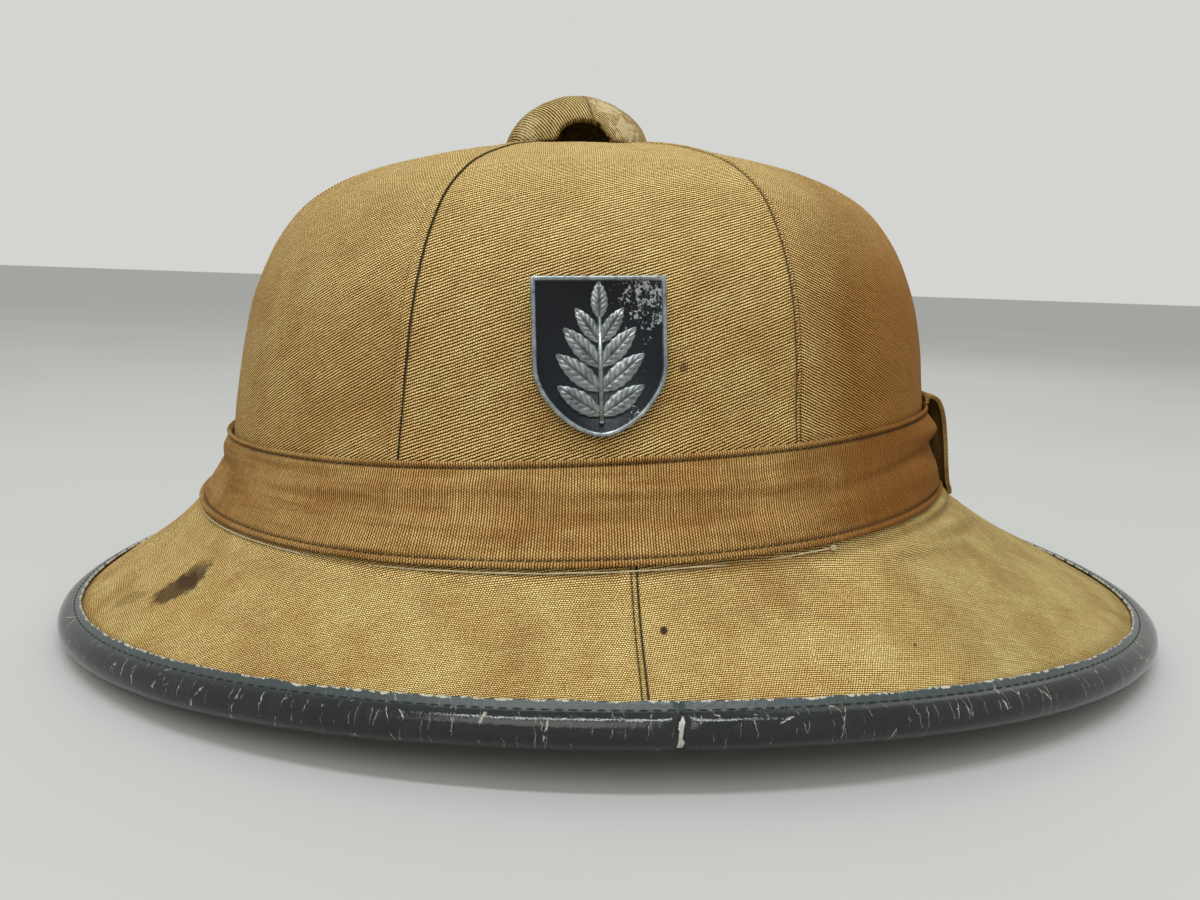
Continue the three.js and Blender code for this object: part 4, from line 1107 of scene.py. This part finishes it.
def build_keeper():
    middle, along, out = keeper_frame()
    heights = np.array([bend.height for bend in KEEPER])
    wall, _ = face(np.array([KEEPER_ANGLE, KEEPER_ANGLE + 0.5]), place_of_height(heights))
    reach = (wall[:, 0] - middle) @ out + np.array([bend.proud for bend in KEEPER])
    level = wall[:, 0, 2]
    knots = np.arange(len(KEEPER))
    fine = np.linspace(0, len(KEEPER) - 1, 64)
    smooth = []
    for values in (reach, level):
        slopes = np.gradient(values)
        index = np.clip(fine.astype(int), 0, len(KEEPER) - 2)
        t = fine - knots[index]
        smooth.append(values[index] * (2 * t**3 - 3 * t**2 + 1) + slopes[index] * (t**3 - 2 * t**2 + t)
                      + values[index + 1] * (3 * t**2 - 2 * t**3) + slopes[index + 1] * (t**3 - t**2))
    line = middle[:2] + out[:2] * smooth[0][:, None]
    line = np.concatenate([line, smooth[1][:, None]], axis=1)
    steps = np.gradient(line, axis=0)
    square = np.cross(steps, along)
    square /= np.linalg.norm(square, axis=1)[:, None]
    half = KEEPER_WIDTH / 2
    widths = half * np.array([-1, -0.985, -0.95, -0.88, -0.8, -0.7, -0.45, -0.2, 0,
                              0.2, 0.45, 0.7, 0.8, 0.88, 0.95, 0.985, 1])
    from_edge = half - np.abs(widths)
    swell = 0.3 * np.sqrt(np.clip(1 - ((from_edge - 0.8) / 0.8) ** 2, 0, 1)) - 0.1
    points = (line[:, None] + along * widths[None, :, None]
              + square[:, None] * np.where(from_edge < 1.6, swell, 0)[None, :, None])
    lean = 3.8 * np.clip(widths / half + 0.15, 0, 1) ** 1.4
    held = np.sin(np.linspace(0, math.pi, len(line)))
    points = points - out * (lean[None, :] * held[:, None])[:, :, None]
    lengths = np.concatenate([[0], np.cumsum(np.linalg.norm(np.diff(line, axis=0), axis=1))])
    cloth = np.stack(np.broadcast_arrays(lengths[:, None], widths[None, :]), -1)
    wear = np.broadcast_to(0.6 * bump_over(from_edge, 2.0, 0.4), cloth.shape[:2])
    piece = grid_object("keeper_loop", points, cloth, wear)
    return thicken(piece, KEEPER_THICKNESS - 0.1)


def seat_on_top(points):
    """Set points drawn over the air hole square to the crown's top, which leans forward."""
    height, middle = CROWN[0].height, CROWN[0].middle
    angle = math.atan(CROWN_SLOPE)
    x = points[..., 0]
    y = points[..., 1] + middle - CROWN_CENTRE
    z = points[..., 2] - height
    return np.stack([x, CROWN_CENTRE + y * math.cos(angle) - z * math.sin(angle),
                     height + y * math.sin(angle) + z * math.cos(angle)], -1)


def vent_profile(lowest):
    """Radius and height down the cap's face to its lowest edge at each angle."""
    radii = np.array([ring.radius for ring in VENT])
    heights = np.array([ring.height for ring in VENT])
    bend = np.concatenate([[0], np.cumsum(np.hypot(np.diff(radii), np.diff(heights)))])
    fine = np.linspace(0, bend[-1], 400)
    radius = np.interp(fine, bend, radii)
    height = np.interp(fine, bend, heights)
    kernel = np.ones(31) / 31
    pad = 15
    smooth_radius = np.convolve(np.concatenate([-radius[pad:0:-1], radius, np.full(pad, radius[-1])]),
                                kernel, "valid")
    tail = height[-1] - np.arange(1, pad + 1) * (bend[-1] / 399)
    smooth_height = np.convolve(np.concatenate([height[pad:0:-1], height, tail]), kernel, "valid")
    stops = np.interp(-lowest, -smooth_height, fine)
    return fine, smooth_radius, smooth_height, stops


def build_vent_cap():
    turns = ((-26, 26, 53), (26, 154, 41), (154, 206, 53), (206, 334, 41))
    angles = np.concatenate([[turns[0][0]]] + [np.linspace(*turn)[1:] for turn in turns])
    side = np.abs(VENT[-1].radius * np.sin(np.radians(angles)))
    arch = SLIT_HEIGHT * np.sqrt(np.clip(1 - (side / SLIT_HALF_WIDTH) ** 2, 0, 1))
    lowest = VENT[-1].height + arch
    fine, radius, height, stops = vent_profile(lowest)
    shares = np.concatenate([np.linspace(0, 0.9, 26)[:-1], np.linspace(0.9, 1, 8)])
    at = shares[:, None] * stops[None, :]
    r = np.interp(at, fine, radius)
    z = np.interp(at, fine, height)
    turn = np.radians(angles)[None, :]
    lip = bump_over(shares[:, None], 1.0, 0.05)
    r = r + 0.35 * lip + 0.22 * ripple(angles[None, :] * 0.35, at, 9.0, 11) * ease(at / 6)
    points = seat_on_top(np.stack([r * np.cos(turn), r * np.sin(turn), z], -1))
    flat = at
    spin = np.where((angles > 8) & (angles < 190), math.radians(60), math.radians(20))[None, :]
    x, y = flat * np.cos(turn), flat * np.sin(turn)
    cloth = np.stack([x * np.cos(spin) + y * np.sin(spin), -x * np.sin(spin) + y * np.cos(spin)], -1)
    seam = np.maximum(bump_over(angles, 8, 1.4), bump_over(angles, 190, 1.4))[None, :]
    wear = np.clip(0.75 * seam * ease(at / 8) + 0.5 * lip, 0, 1)
    piece = grid_object("vent_cap_canvas", points, cloth, wear, closes=True)
    return thicken(piece, VENT_WALL)


def build_eyelet():
    """A rolled metal eyelet, turned round the air hole."""
    inner = EYELET_TUBE - EYELET_WALL
    section = [
        (EYELET_TUBE, EYELET_BOTTOM), (EYELET_TUBE, EYELET_SEAT), (EYELET_FLANGE, EYELET_SEAT),
        (EYELET_FLANGE, EYELET_SEAT + 0.8), (EYELET_TUBE, EYELET_SEAT + 0.8), (EYELET_TUBE, EYELET_TOP),
        (inner, EYELET_TOP), (inner, EYELET_BOTTOM),
    ]
    bm = bmesh.new()
    verts = [bm.verts.new((radius * MM, 0, height * MM)) for radius, height in section]
    edges = [bm.edges.new((verts[i], verts[(i + 1) % len(verts)])) for i in range(len(verts))]
    bmesh.ops.spin(bm, geom=verts + edges, axis=(0, 0, 1), cent=(0, 0, 0),
                   angle=math.tau, steps=72, use_merge=True)
    bmesh.ops.remove_doubles(bm, verts=bm.verts, dist=1e-6)
    bmesh.ops.recalc_face_normals(bm, faces=bm.faces)
    rings = [edge for edge in bm.edges if edge.calc_face_angle(0) > 1.0]
    bmesh.ops.bevel(bm, geom=rings, offset=0.0002, segments=2, profile=0.5, affect="EDGES", material=-1)
    for vert in bm.verts:
        vert.co = seat_on_top(np.array(vert.co) / MM) * MM
    return finish_mesh("eyelet", bm)


def butt_turns():
    """Where the binding starts and ends, in degrees round the crown."""
    gap = math.degrees(BUTT_GAP / 2 / RIM_WIDTH)
    return BUTT_ANGLE + gap, BUTT_ANGLE - gap + 360


def binding_line(angles, steps):
    """Rows of the binding at these angles: from the upper flange round the roll to the lower one."""
    edge = edge_sections(angles)
    face_at = HALF_DEPTH + LAYER_GAP + 0.95
    up = np.array([0.0, 0.0, 1.0])
    tilt = np.arctan2(edge["slope"][:, 2], -(edge["slope"] * edge["out"]).sum(1))
    turn = math.acos(face_at / ROLL_RADIUS)
    rows = []
    for inwards in np.linspace(FLANGE_REACH, 2.4, 7):
        rows.append(edge["centre"] + edge["slope"] * inwards + edge["square"] * face_at)
    for share in np.linspace(0, 1, steps):
        degrees = (math.pi - tilt + turn) * (1 - share) + (-tilt - turn) * share
        rows.append(edge["centre"] + edge["out"] * (ROLL_RADIUS * np.sin(degrees))[:, None]
                    - up * (ROLL_RADIUS * np.cos(degrees))[:, None])
    for inwards in np.linspace(2.4, UNDER_REACH, 6):
        rows.append(edge["centre"] + edge["slope"] * inwards - edge["square"] * face_at)
    return np.array(rows), edge


def sheet_normals(points):
    """Outward directions of a sheet whose rows run down or outwards."""
    normals = np.cross(np.gradient(points, axis=0), np.gradient(points, axis=1))
    return normals / np.linalg.norm(normals, axis=2)[:, :, None]


def build_binding():
    points, edge = binding_line(np.linspace(*butt_turns(), 481), 30)
    lengths = lengths_along(edge["centre"][None])[0]
    steps = np.linalg.norm(np.diff(points[:, 0], axis=0), axis=1)
    around = np.concatenate([[0], np.cumsum(steps)])
    normals = sheet_normals(points)
    uneven = 0.1 * ripple(lengths[None, :], around[:, None] * 3, 26.0, 21)
    uneven = uneven + 0.05 * ripple(lengths[None, :] * 4, around[:, None] * 2, 14.0, 23)
    roll = ease((around - 3) / 2) * ease((around[-1] - around - 3) / 2)
    ends = np.minimum(lengths, lengths[-1] - lengths)
    rounded = 0.45 * (1 - ease(ends / 1.3))
    points = points + normals * (uneven * roll[:, None] - rounded[None, :] * roll[:, None])[:, :, None]
    frayed = 0.35 * ripple(lengths, 0, 21.0, 33) + 0.2 * ripple(lengths, 0, 7.0, 35)
    points = points - edge["slope"] * (frayed[None, :] * (1 - ease(around / 2.6))[:, None])[:, :, None]
    along = np.gradient(edge["centre"], axis=0)
    along /= np.linalg.norm(along, axis=1)[:, None]
    side = np.where(lengths < lengths[-1] / 2, -1.0, 1.0) * (1 - ease(ends / 5))
    meets = 0.5 * (1 - ease((around - 2.5) / 2.0))
    sways = 0.3 * np.sin(around * 0.55)
    points = points + along * (meets[:, None] * side[None, :])[:, :, None]
    points = points + along * (sways[:, None] * np.abs(side)[None, :])[:, :, None]
    points[:, :, 2] = np.maximum(points[:, :, 2], 0.0)
    cloth = np.stack(np.broadcast_arrays(lengths[None, :], around[:, None]), -1)
    wear = 1 - ease(around / 1.5)
    worn_ends = 0.3 * (1 - ease(ends / 0.6))
    wear = np.maximum(np.broadcast_to(wear[:, None], cloth.shape[:2]), worn_ends[None, :])
    piece = grid_object("binding_roll", points, cloth, wear)
    return thicken(piece, 0.75)


def binding_stitch_paths():
    points, edge = binding_line(np.linspace(*butt_turns(), 481), 4)
    outwards = 0.86
    line = points[0] * (1 - outwards) + points[6] * outwards
    return [(line + edge["square"] * 0.08, edge["square"])]


def build_binding_tape():
    """The white tape inside the roll, which shows where the binding's two ends meet."""
    points, edge = binding_line(BUTT_ANGLE + np.linspace(-1.3, 1.3, 27), 24)
    points = points[4:-3]
    lengths = lengths_along(edge["centre"][None])[0]
    rows = np.arange(len(points))[:, None]
    sunk = (0.42 + 0.1 * np.sin(rows * 0.9 + lengths[None, :] * 1.7)
            + 0.02 * (lengths[None, :] - lengths[13]) ** 2)
    points = points - sheet_normals(points) * sunk[:, :, None]
    return thicken(grid_object("binding_tape", points), 0.3)


def shield_points(margin, steps=14):
    """Shield outline with a straight top and a rounded point below, drawn in by a margin."""
    half = BADGE_WIDTH / 2 - margin
    top = -margin
    shoulder = -BADGE_HEIGHT * BADGE_STRAIGHT
    tip = -BADGE_HEIGHT + margin
    t = np.linspace(0, 1, steps)[:, None]
    corners = [np.array(p) for p in ((-half, shoulder), (-half, shoulder - 7),
                                     (-half * 0.46, tip + 0.3), (0, tip))]
    left = (corners[0] * (1 - t)**3 + corners[1] * 3 * t * (1 - t)**2
            + corners[2] * 3 * t**2 * (1 - t) + corners[3] * t**3)
    right = left[::-1] * (-1, 1)
    side = np.linspace(top, shoulder, 8)[:-1]
    edge = np.stack([np.full(7, -half), side], -1)
    along = np.linspace(half, -half, 12)[1:-1]
    lid = np.stack([along, np.full(10, top)], -1)
    return np.concatenate([edge, left, right[1:], edge[::-1] * (-1, 1), lid])


def badge_place():
    """Matrix that stands badge drawings, in millimetres, on the left gore."""
    lean = math.radians(BADGE_LEAN)
    out = Vector((math.cos(lean), 0, math.sin(lean)))
    across = Vector((0, 1, 0))
    seat = min(vert.co.dot(out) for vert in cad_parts["badge"].data.vertices)
    top = Vector((0, (CROWN_CENTRE + BADGE_ALONG) * MM, BADGE_TOP * MM))
    top.x = (seat - top.z * out.z) / out.x
    stand = Matrix((across, out.cross(across), out)).transposed().to_4x4()
    turned = Matrix.Rotation(math.radians(BADGE_TURN), 4, "Z")
    return Matrix.Translation(top) @ stand @ turned @ Matrix.Scale(MM, 4)


def build_badge_plate():
    """Plate with a raised rounded rim, and the field that the rim stands round."""
    bm = bmesh.new()
    outline = shield_points(0)
    verts = [bm.verts.new((x, y, 0)) for x, y in outline]
    base = bm.faces.new(verts)
    lifted = bmesh.ops.extrude_face_region(bm, geom=[base])["geom"]
    lid = [item for item in lifted if isinstance(item, bmesh.types.BMFace)][0]
    height = BADGE_PLATE + BADGE_RIM_HEIGHT
    bmesh.ops.translate(bm, verts=lid.verts, vec=(0, 0, height))
    bmesh.ops.recalc_face_normals(bm, faces=bm.faces)
    lid.normal_update()
    bmesh.ops.inset_region(bm, faces=[lid], thickness=BADGE_RIM, use_even_offset=True)
    bmesh.ops.inset_region(bm, faces=[lid], thickness=0.12, use_even_offset=True)
    bmesh.ops.translate(bm, verts=lid.verts, vec=(0, 0, -BADGE_RIM_HEIGHT))
    field = lid
    ridge = [edge for edge in bm.edges if edge not in field.edges and edge.calc_face_angle(0) > 0.9
             and min(v.co.z for v in edge.verts) > BADGE_PLATE]
    bmesh.ops.bevel(bm, geom=ridge, offset=0.38, segments=3, profile=0.5, affect="EDGES", material=-1)
    for polygon in bm.faces:
        flat = all(abs(v.co.z - BADGE_PLATE) < 0.02 for v in polygon.verts)
        polygon.material_index = 1 if flat else 0
    bmesh.ops.triangulate(bm, faces=[f for f in bm.faces if len(f.verts) > 4])
    bmesh.ops.transform(bm, verts=bm.verts, matrix=badge_place())
    piece = finish_mesh("badge_shield", bm)
    return piece


def leaf_into(bm, leaf, turn):
    """One domed leaf with a middle vein and side veins, on the shield's field."""
    columns, rows = 26, 44
    dark = bm.verts.layers.float["wear"]
    made = bmesh.ops.create_grid(bm, x_segments=columns, y_segments=rows, size=0.5)["verts"]
    rotation = Matrix.Rotation(math.radians(turn), 3, "Z")
    foot = Vector((0, -BADGE_HEIGHT * (1 - leaf.foot) - 0.5, 0))
    for vert in made:
        u, t = vert.co.x * 2, vert.co.y + 0.5
        half = leaf.width / 2 * math.sin(math.pi * t ** 0.85) ** 0.75 * (1 + 0.05 * math.sin(t * 40))
        dome = math.sqrt(max(0.0, 1 - u * u)) * (0.35 + 0.65 * math.sin(math.pi * min(t * 1.15, 1)) ** 0.5)
        vein = 0.36 * math.exp(-(u / 0.13) ** 2)
        ribs = (0.2 * max(0.0, math.sin((t * 7.5 - abs(u) * 1.6) * math.tau))
                * min(1, 4 * abs(u)) * (1 - u * u))
        height = BADGE_PLATE - 0.1 + 0.78 * dome - vein * dome - ribs
        flat = Vector((u * half, t * leaf.length, 0))
        vert.co = rotation @ flat + foot + Vector((0, 0, height))
        vert[dark] = min(1.0, 2.4 * vein * dome + 3.2 * ribs + max(0.0, abs(u) - 0.8) * 4)
    faces = list({polygon for vert in made for polygon in vert.link_faces})
    lowered = bmesh.ops.extrude_face_region(bm, geom=faces)["geom"]
    under = [item for item in lowered if isinstance(item, bmesh.types.BMVert)]
    for vert in under:
        vert.co.z = BADGE_PLATE - 0.25
    return faces


def build_badge_sprig():
    bm = bmesh.new()
    bm.verts.layers.float.new("wear")
    leaf_into(bm, TOP_LEAF, 0)
    for leaf in LEAVES:
        leaf_into(bm, leaf, leaf.turn)
        leaf_into(bm, leaf, -leaf.turn)
    bottom = -BADGE_HEIGHT * (1 - STEM_FROM)
    top = -BADGE_HEIGHT * (1 - TOP_LEAF.foot)
    stem = Matrix.Translation((0, (bottom + top) / 2, BADGE_PLATE)) @ Matrix.Rotation(math.pi / 2, 4, "X")
    bmesh.ops.create_cone(bm, cap_ends=True, segments=20,
                          radius1=STEM_WIDTH * 0.42, radius2=STEM_WIDTH * 0.55,
                          depth=top - bottom, matrix=stem)
    foot = Matrix.Translation((0, bottom, BADGE_PLATE))
    bmesh.ops.create_uvsphere(bm, u_segments=20, v_segments=12, radius=STEM_WIDTH * 0.55, matrix=foot)
    bmesh.ops.recalc_face_normals(bm, faces=bm.faces)
    bmesh.ops.transform(bm, verts=bm.verts, matrix=badge_place())
    return finish_mesh("badge_sprig", bm)


# Settings that a user would change

class HelmetCloth(bpy.types.PropertyGroup):
    """Colours and rib of the canvas."""
    pale: FloatVectorProperty(name="Faded canvas", description="Colour of the faded cloth", subtype="COLOR",
                              size=3, min=0, max=1, default=(0.7, 0.502, 0.19))
    middle: FloatVectorProperty(name="Canvas", description="Usual colour of the cloth", subtype="COLOR",
                                size=3, min=0, max=1, default=(0.6, 0.378, 0.128))
    # The dark colour serves for soil and also as the painted shade towards the bottom, the front and the
    # rear.
    dark: FloatVectorProperty(name="Soiled and shaded canvas", description="Colour of the soiled cloth", subtype="COLOR",
                              size=3, min=0, max=1, default=(0.31, 0.138, 0.024))
    rib: FloatProperty(name="Rib", description="Width of one rib of the canvas, in millimetres",
                       min=0.3, max=3, default=0.72)
    thread: FloatProperty(name="Thread", description="Width of one crossing thread, in millimetres",
                          min=0.3, max=3, default=0.6)
    relief: FloatProperty(name="Relief", description="Height of the ribs, in millimetres",
                          min=0, max=1, default=0.16)


class HelmetTrim(bpy.types.PropertyGroup):
    """Stitches."""
    stitch: FloatProperty(name="Stitch length", description="Length of a stitch, in millimetres",
                          min=0.5, max=6, default=1.95)
    pitch: FloatProperty(name="Stitch pitch", description="Distance from stitch to stitch, in millimetres",
                         min=0.8, max=8, default=2.2)
    thread: FloatVectorProperty(name="Thread", description="Colour of the sewing thread", subtype="COLOR",
                                size=3, min=0, max=1, default=(0.038, 0.038, 0.018))


def canvas_named(name, **changes):
    """The helmet's canvas, made once under each name."""
    if name in bpy.data.materials:
        return bpy.data.materials[name]
    cloth = bpy.context.scene.helmet_cloth
    shade = changes.pop("shade", 1.0)
    warm = changes.pop("warm", 0.0)
    colours = []
    for colour in (cloth.pale, cloth.middle, cloth.dark):
        red, green, blue = (c * shade for c in colour)
        colours.append((red, green * (1 - 0.12 * warm), blue * (1 - 0.2 * warm)))
    rib = changes.pop("rib", 1.0) * cloth.rib
    thread = changes.pop("thread", 1.0) * cloth.thread
    return canvas_finish(name, colours, rib, thread, cloth.relief, **changes)


def sewing_thread():
    name = "dark sewing thread"
    return bpy.data.materials.get(name) or thread_finish(name, tuple(bpy.context.scene.helmet_trim.thread))


def pale_thread():
    name = "pale thread"
    return bpy.data.materials.get(name) or thread_finish(name, (0.62, 0.52, 0.3))


class HELMET_OT_shell(bpy.types.Operator):
    """Make the hollow cork shell"""
    bl_idname = "helmet.shell"
    bl_label = "Cork Shell"

    def execute(self, context):
        dress(build_shell(), cork_finish(), "cork", "shell")
        return {"FINISHED"}


class HELMET_OT_crown(bpy.types.Operator):
    """Make the six canvas gores of the crown and their stitches"""
    bl_idname = "helmet.crown"
    bl_label = "Crown Gores"

    def execute(self, context):
        trim = context.scene.helmet_trim
        finish = canvas_named("crown canvas", shade=0.9, warm=0.4, marks=CROWN_MARKS,
                              grain=0.66, contrast=1.22,
                              rear_shade=0.88, front_shade=0.24, top_fade=0.7, low_shade=0.24)
        for gore in GORES:
            dress(build_gore(gore), finish, "crown_canvas", gore.name)
        sewn = stitches("crown_stitches", gore_seam_paths(), trim.pitch, trim.stitch + 0.5, 0.12, 0.04)
        dress(sewn, sewing_thread(), "crown_canvas")
        return {"FINISHED"}


class HELMET_OT_brim(bpy.types.Operator):
    """Make the two pieces of canvas on the brim and their stitches"""
    bl_idname = "helmet.brim"
    bl_label = "Brim Covers"

    def execute(self, context):
        trim = context.scene.helmet_trim
        finish = canvas_named("brim canvas", shade=1.1, warm=-0.4, marks=BRIM_MARKS,
                              rib=0.9, thread=0.98, grain=0.86, contrast=1.0,
                              front_shade=0.15, rear_tint=(0.34, 0.47, 0.52))
        for cover in COVERS:
            dress(build_cover(cover), finish, "brim_canvas", cover.name)
        sewn = stitches("brim_stitches", cover_seam_paths(), trim.pitch, trim.stitch + 0.5, 0.15)
        dress(sewn, sewing_thread(), "brim_canvas")
        return {"FINISHED"}


class HELMET_OT_band(bpy.types.Operator):
    """Make the cloth band with its rolled edges, stitches, pale thread and keeper"""
    bl_idname = "helmet.band"
    bl_label = "Band and Keeper"

    def execute(self, context):
        trim = context.scene.helmet_trim
        finish = canvas_named("band canvas", shade=0.67, warm=1.0, rib=0.92,
                              grain=0.6, contrast=0.9, rear_shade=0.92,
                              front_shade=0.2, streaks=0.6)
        dress(build_band(), finish, "band_canvas", "band")
        sewn = stitches("band_stitches", band_stitch_paths(), trim.pitch, trim.stitch, 0.16, 0.16)
        dress(sewn, sewing_thread(), "band_canvas")
        line = band_thread_points()
        dress(tube_object("band_thread", line, 0.2), pale_thread(), "band_canvas")
        strip = canvas_named("keeper canvas", shade=0.52, warm=0.2, rib=1.0, grain=0.6, contrast=0.7)
        dress(build_keeper(), strip, "band_canvas", "band_keeper")
        return {"FINISHED"}


class HELMET_OT_vent(bpy.types.Operator):
    """Make the domed vent cap and the eyelet below it"""
    bl_idname = "helmet.vent"
    bl_label = "Vent Cap"

    def execute(self, context):
        finish = canvas_named("vent canvas", shade=0.56, rib=1.2, thread=1.3, contrast=1.1, worn=VENT_MARKS)
        dress(build_vent_cap(), finish, "vent_canvas", "vent_cap")
        dress(build_eyelet(), eyelet_finish(), "eyelet_metal", "vent_ring")
        return {"FINISHED"}


class HELMET_OT_binding(bpy.types.Operator):
    """Make the rolled oilcloth binding, its stitches and the tape inside it"""
    bl_idname = "helmet.binding"
    bl_label = "Edge Binding"

    def execute(self, context):
        dress(build_binding(), binding_finish(), "binding_oilcloth", "brim_binding")
        sewn = stitches("binding_stitches", binding_stitch_paths(), 2.9, 2.1, 0.2)
        dress(sewn, sewing_thread(), "binding_oilcloth")
        dress(build_binding_tape(), thread_finish("white tape", (0.62, 0.57, 0.52)), "binding_oilcloth")
        return {"FINISHED"}


class HELMET_OT_badge(bpy.types.Operator):
    """Make the metal shield with its plain sprig of leaves"""
    bl_idname = "helmet.badge"
    bl_label = "Side Shield"

    def execute(self, context):
        metal = badge_metal_finish()
        plate = dress(build_badge_plate(), metal, "badge_metal", "badge")
        plate.data.materials.append(enamel_finish())
        dress(build_badge_sprig(), metal, "badge_metal")
        return {"FINISHED"}


class HELMET_OT_stage(bpy.types.Operator):
    """Make the pale floor, the soft lights and the camera"""
    bl_idname = "helmet.stage"
    bl_label = "Stage"

    def execute(self, context):
        bm = bmesh.new()
        bmesh.ops.create_grid(bm, x_segments=8, y_segments=8, size=30)
        floor = finish_mesh("floor", bm)
        floor.data.materials.append(floor_finish())
        world = bpy.data.worlds.new("soft room")
        world.use_nodes = True
        background = world.node_tree.nodes["Background"]
        background.inputs["Color"].default_value = (0.66, 0.665, 0.64, 1.0)
        background.inputs["Strength"].default_value = 1.0
        context.scene.world = world
        self.light("key", (0.8, -0.26, 0.95), (0.7, 0.7), 3.6, (1.0, 0.97, 0.92))
        self.light("overhead", (0.35, -0.05, 1.2), (0.9, 0.09), 6.6, (0.9, 0.97, 1.0))
        self.light("rear", (-0.8, 0.5, 0.9), (0.9, 0.9), 1.7, (1.0, 1.0, 1.0))
        lens = bpy.data.cameras.new("camera")
        lens.sensor_width = 36
        lens.lens = 26.2
        lens.clip_start = 0.01
        camera = bpy.data.objects.new("camera", lens)
        right = Vector((0.105566, 0.993823, 0.034235))
        up = Vector((-0.190859, -0.013538, 0.981524))
        back = Vector((0.975924, -0.110150, 0.188251))
        turn = Matrix((right, up, back)).transposed().to_4x4()
        camera.matrix_world = Matrix.Translation((0.292779, -0.040848, 0.104596)) @ turn
        context.scene.collection.objects.link(camera)
        context.scene.camera = camera
        context.scene.view_settings.view_transform = "Standard"
        return {"FINISHED"}

    def light(self, name, place, sides, power, colour):
        lamp = bpy.data.lights.new(name, "AREA")
        lamp.shape = "RECTANGLE"
        lamp.size, lamp.size_y = sides
        lamp.energy = power
        lamp.color = colour
        held = bpy.data.objects.new(name, lamp)
        held.location = place
        held.rotation_euler = (Vector((0, 0, 0.07)) - Vector(place)).to_track_quat("-Z", "Y").to_euler()
        bpy.context.scene.collection.objects.link(held)


OPERATORS = [
    HELMET_OT_shell,
    HELMET_OT_crown,
    HELMET_OT_brim,
    HELMET_OT_band,
    HELMET_OT_vent,
    HELMET_OT_binding,
    HELMET_OT_badge,
    HELMET_OT_stage,
]


class HELMET_PT_panel(bpy.types.Panel):
    """Lists the helmet's settings and pieces"""
    bl_idname = "HELMET_PT_panel"
    bl_label = "Pith Helmet"
    bl_space_type = "VIEW_3D"
    bl_region_type = "UI"
    bl_category = "Pith Helmet"

    def draw(self, context):
        column = self.layout.column()
        for group in (context.scene.helmet_cloth, context.scene.helmet_trim):
            for name in group.bl_rna.properties.keys():
                if name not in {"rna_type", "name"}:
                    column.prop(group, name)
        for operator in OPERATORS:
            column.operator(operator.bl_idname)


CLASSES = [HelmetCloth, HelmetTrim, *OPERATORS, HELMET_PT_panel]


def register():
    for item in CLASSES:
        bpy.utils.register_class(item)
    bpy.types.Scene.helmet_cloth = PointerProperty(type=HelmetCloth)
    bpy.types.Scene.helmet_trim = PointerProperty(type=HelmetTrim)


def unregister():
    del bpy.types.Scene.helmet_trim
    del bpy.types.Scene.helmet_cloth
    for item in reversed(CLASSES):
        bpy.utils.unregister_class(item)


def main():
    """Build every piece in order."""
    register()
    bpy.ops.helmet.shell()
    bpy.ops.helmet.crown()
    bpy.ops.helmet.brim()
    bpy.ops.helmet.band()
    bpy.ops.helmet.vent()
    bpy.ops.helmet.binding()
    bpy.ops.helmet.badge()
    bpy.ops.helmet.stage()


if __name__ == "__main__":
    main()
